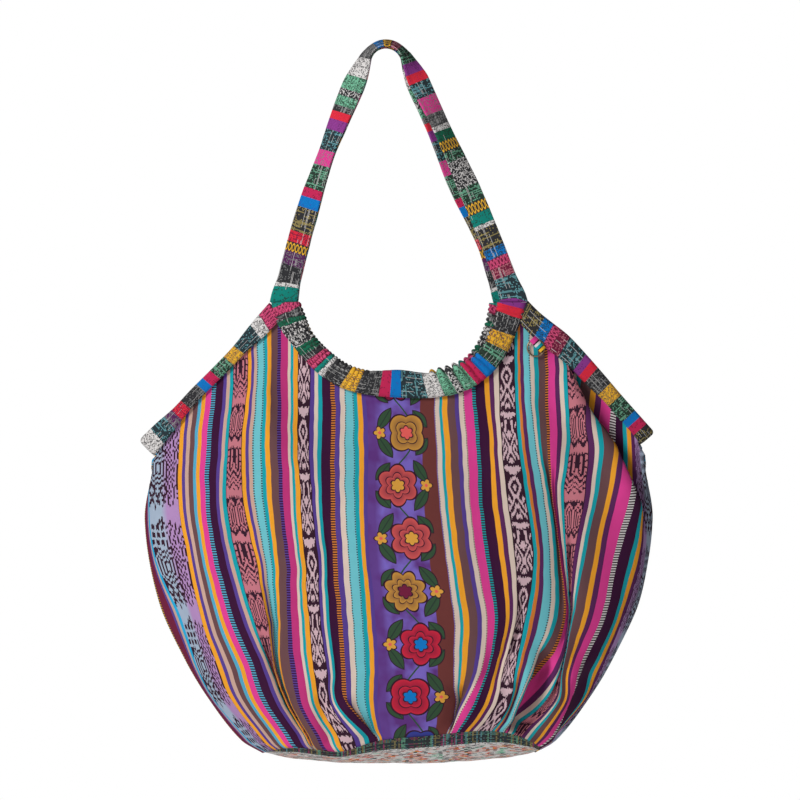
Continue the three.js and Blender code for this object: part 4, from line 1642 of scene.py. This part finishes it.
def near_ring(downward, sideways, forward):
    """A point near the ring: down from the shoulder binding's hem, along it, and forward from the cloth."""
    top_x = mix(SHOULDER_IN, SHOULDER_OUT, RING_ALONG)
    rise, width = shoulder_shape(top_x)
    seat = Vector((top_x, 0, shoulder_z(top_x, 0) + rise)) + SHOULDER_DOWN * width
    point = seat + SHOULDER_DOWN * downward + SHOULDER_OUTWARD * sideways
    return Vector((BODY_X + point.x, -edge_depth(point.x) - forward, point.z))


class BAG_OT_ring(bpy.types.Operator):
    """Make the wire ring and its cloth loop"""

    bl_idname = "bag.ring"
    bl_label = "Ring and Loop"

    def execute(self, context):
        bpy.ops.object.select_all(action="DESELECT")
        bpy.ops.mesh.primitive_torus_add(
            major_radius=RING_RADIUS * MM, minor_radius=sizes().wire / 2,
            major_segments=72, minor_segments=14)
        ring = context.active_object
        ring.name = "wire_ring"
        downward, sideways, forward = RING_SEAT
        centre = near_ring(downward, sideways, forward)
        right = (near_ring(downward, sideways + 1, forward) - centre).normalized()
        down = (near_ring(downward + 1, sideways, forward) - centre).normalized()
        facing = right.cross(down).normalized()
        turn = Matrix((right, facing.cross(right), facing)).transposed()
        ring.matrix_world = Matrix.Translation(centre * MM) @ turn.to_4x4()
        bpy.ops.object.transform_apply(location=True, rotation=True, scale=True)
        bpy.ops.object.shade_smooth()
        dress(ring, "ring", bronze())

        half_gap = LOOP_GAP / 2
        path = [(0.4, LOOP_FLOOR)]
        for k in range(9):
            angle = math.pi * k / 8
            downward = LOOP_REACH - half_gap + half_gap * math.sin(angle)
            path.append((downward, LOOP_FLOOR + half_gap - half_gap * math.cos(angle)))
        path.append((0.4, LOOP_FLOOR + LOOP_GAP))
        lengths = band_lengths([Vector((*place, 0)) for place in path])
        width = sum(stripe[0] for stripe in LOOP_STRIPES)
        shares = [k / LOOP_STEPS for k in range(LOOP_STEPS + 1)]
        rows = [[near_ring(down, mix(*LOOP_ALONG, share), out) for share in shares] for down, out in path]
        cloth = [[(width * share, length) for share in shares] for length in lengths]
        loop = grid_piece("loop_cloth", rows, cloth, 0.001)
        dress(loop, "ring_loop", loop_cloth())
        return {"FINISHED"}


class BAG_OT_stage(bpy.types.Operator):
    """Make the floor, the light and the camera"""

    bl_idname = "bag.stage"
    bl_label = "Stage"

    def execute(self, context):
        scene = context.scene
        bpy.ops.object.select_all(action="DESELECT")
        bpy.ops.mesh.primitive_plane_add(size=5, location=(0, 0, FLOOR_Z))
        floor = context.active_object
        floor.name = "floor"
        pale = {"Roughness": 0.8, "Emission Color": 1.0, "Emission Strength": 0.32}
        floor.data.materials.append(Finish("pale floor", pale).done(linear((238, 238, 238))))

        world = bpy.data.worlds.new("studio")
        scene.world = world
        world.use_nodes = True
        nodes = world.node_tree.nodes
        links = world.node_tree.links
        seen = nodes.new("ShaderNodeLightPath")
        level = nodes.new("ShaderNodeMapRange")
        level.inputs["To Min"].default_value = 0.1
        level.inputs["To Max"].default_value = 1.0
        links.new(seen.outputs["Is Camera Ray"], level.inputs["Value"])
        links.new(level.outputs[0], nodes["Background"].inputs["Strength"])
        nodes["Background"].inputs["Color"].default_value = (1, 1, 1, 1)

        for name, place, size, power in LAMPS:
            bpy.ops.object.light_add(type="AREA", location=place)
            lamp = context.active_object
            lamp.name = name
            lamp.data.shape = "DISK"
            lamp.data.size = size
            lamp.data.energy = power
            lamp.rotation_euler = (LAMP_TARGET - Vector(place)).to_track_quat("-Z", "Y").to_euler()

        centre_x, centre_z = VIEW_CENTRE
        bpy.ops.object.camera_add(location=(centre_x, -VIEW_AWAY, centre_z), rotation=(math.pi / 2, 0, 0))
        camera = context.active_object
        camera.data.sensor_width = 36
        camera.data.lens = camera.data.sensor_width * VIEW_AWAY / VIEW_WIDTH
        camera.data.dof.use_dof = False
        scene.camera = camera
        scene.view_settings.view_transform = "Standard"
        return {"FINISHED"}


class BAG_PT_panel(bpy.types.Panel):
    """The bag's pieces and sizes"""

    bl_idname = "BAG_PT_panel"
    bl_label = "Woven Shoulder Bag"
    bl_space_type = "VIEW_3D"
    bl_region_type = "UI"
    bl_category = "Bag"

    def draw(self, context):
        for operator in OPERATORS:
            self.layout.operator(operator.bl_idname)
        for name in BagSizes.__annotations__:
            self.layout.prop(context.scene.woven_bag_sizes, name)
        colours = self.layout.column(align=True)
        for name in BagColours.__annotations__:
            colours.prop(context.scene.woven_bag_colours, name)


OPERATORS = (
    BAG_OT_body,
    BAG_OT_base,
    BAG_OT_mouth,
    BAG_OT_shoulders,
    BAG_OT_straps,
    BAG_OT_ring,
    BAG_OT_stage,
)
CLASSES = (BagSizes, BagColours, *OPERATORS, BAG_PT_panel)


def register():
    """Adds the classes and the bag's own values."""
    for each in CLASSES:
        bpy.utils.register_class(each)
    bpy.types.Scene.woven_bag_sizes = bpy.props.PointerProperty(type=BagSizes)
    bpy.types.Scene.woven_bag_colours = bpy.props.PointerProperty(type=BagColours)


def unregister():
    """Takes them away again."""
    del bpy.types.Scene.woven_bag_colours
    del bpy.types.Scene.woven_bag_sizes
    for each in reversed(CLASSES):
        bpy.utils.unregister_class(each)


def main():
    """Makes the bag and its stage."""
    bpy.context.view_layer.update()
    register()
    bpy.ops.bag.body()
    bpy.ops.bag.base()
    bpy.ops.bag.mouth()
    bpy.ops.bag.shoulders()
    bpy.ops.bag.straps()
    bpy.ops.bag.ring()
    bpy.ops.bag.stage()


if __name__ == "__main__":
    main()
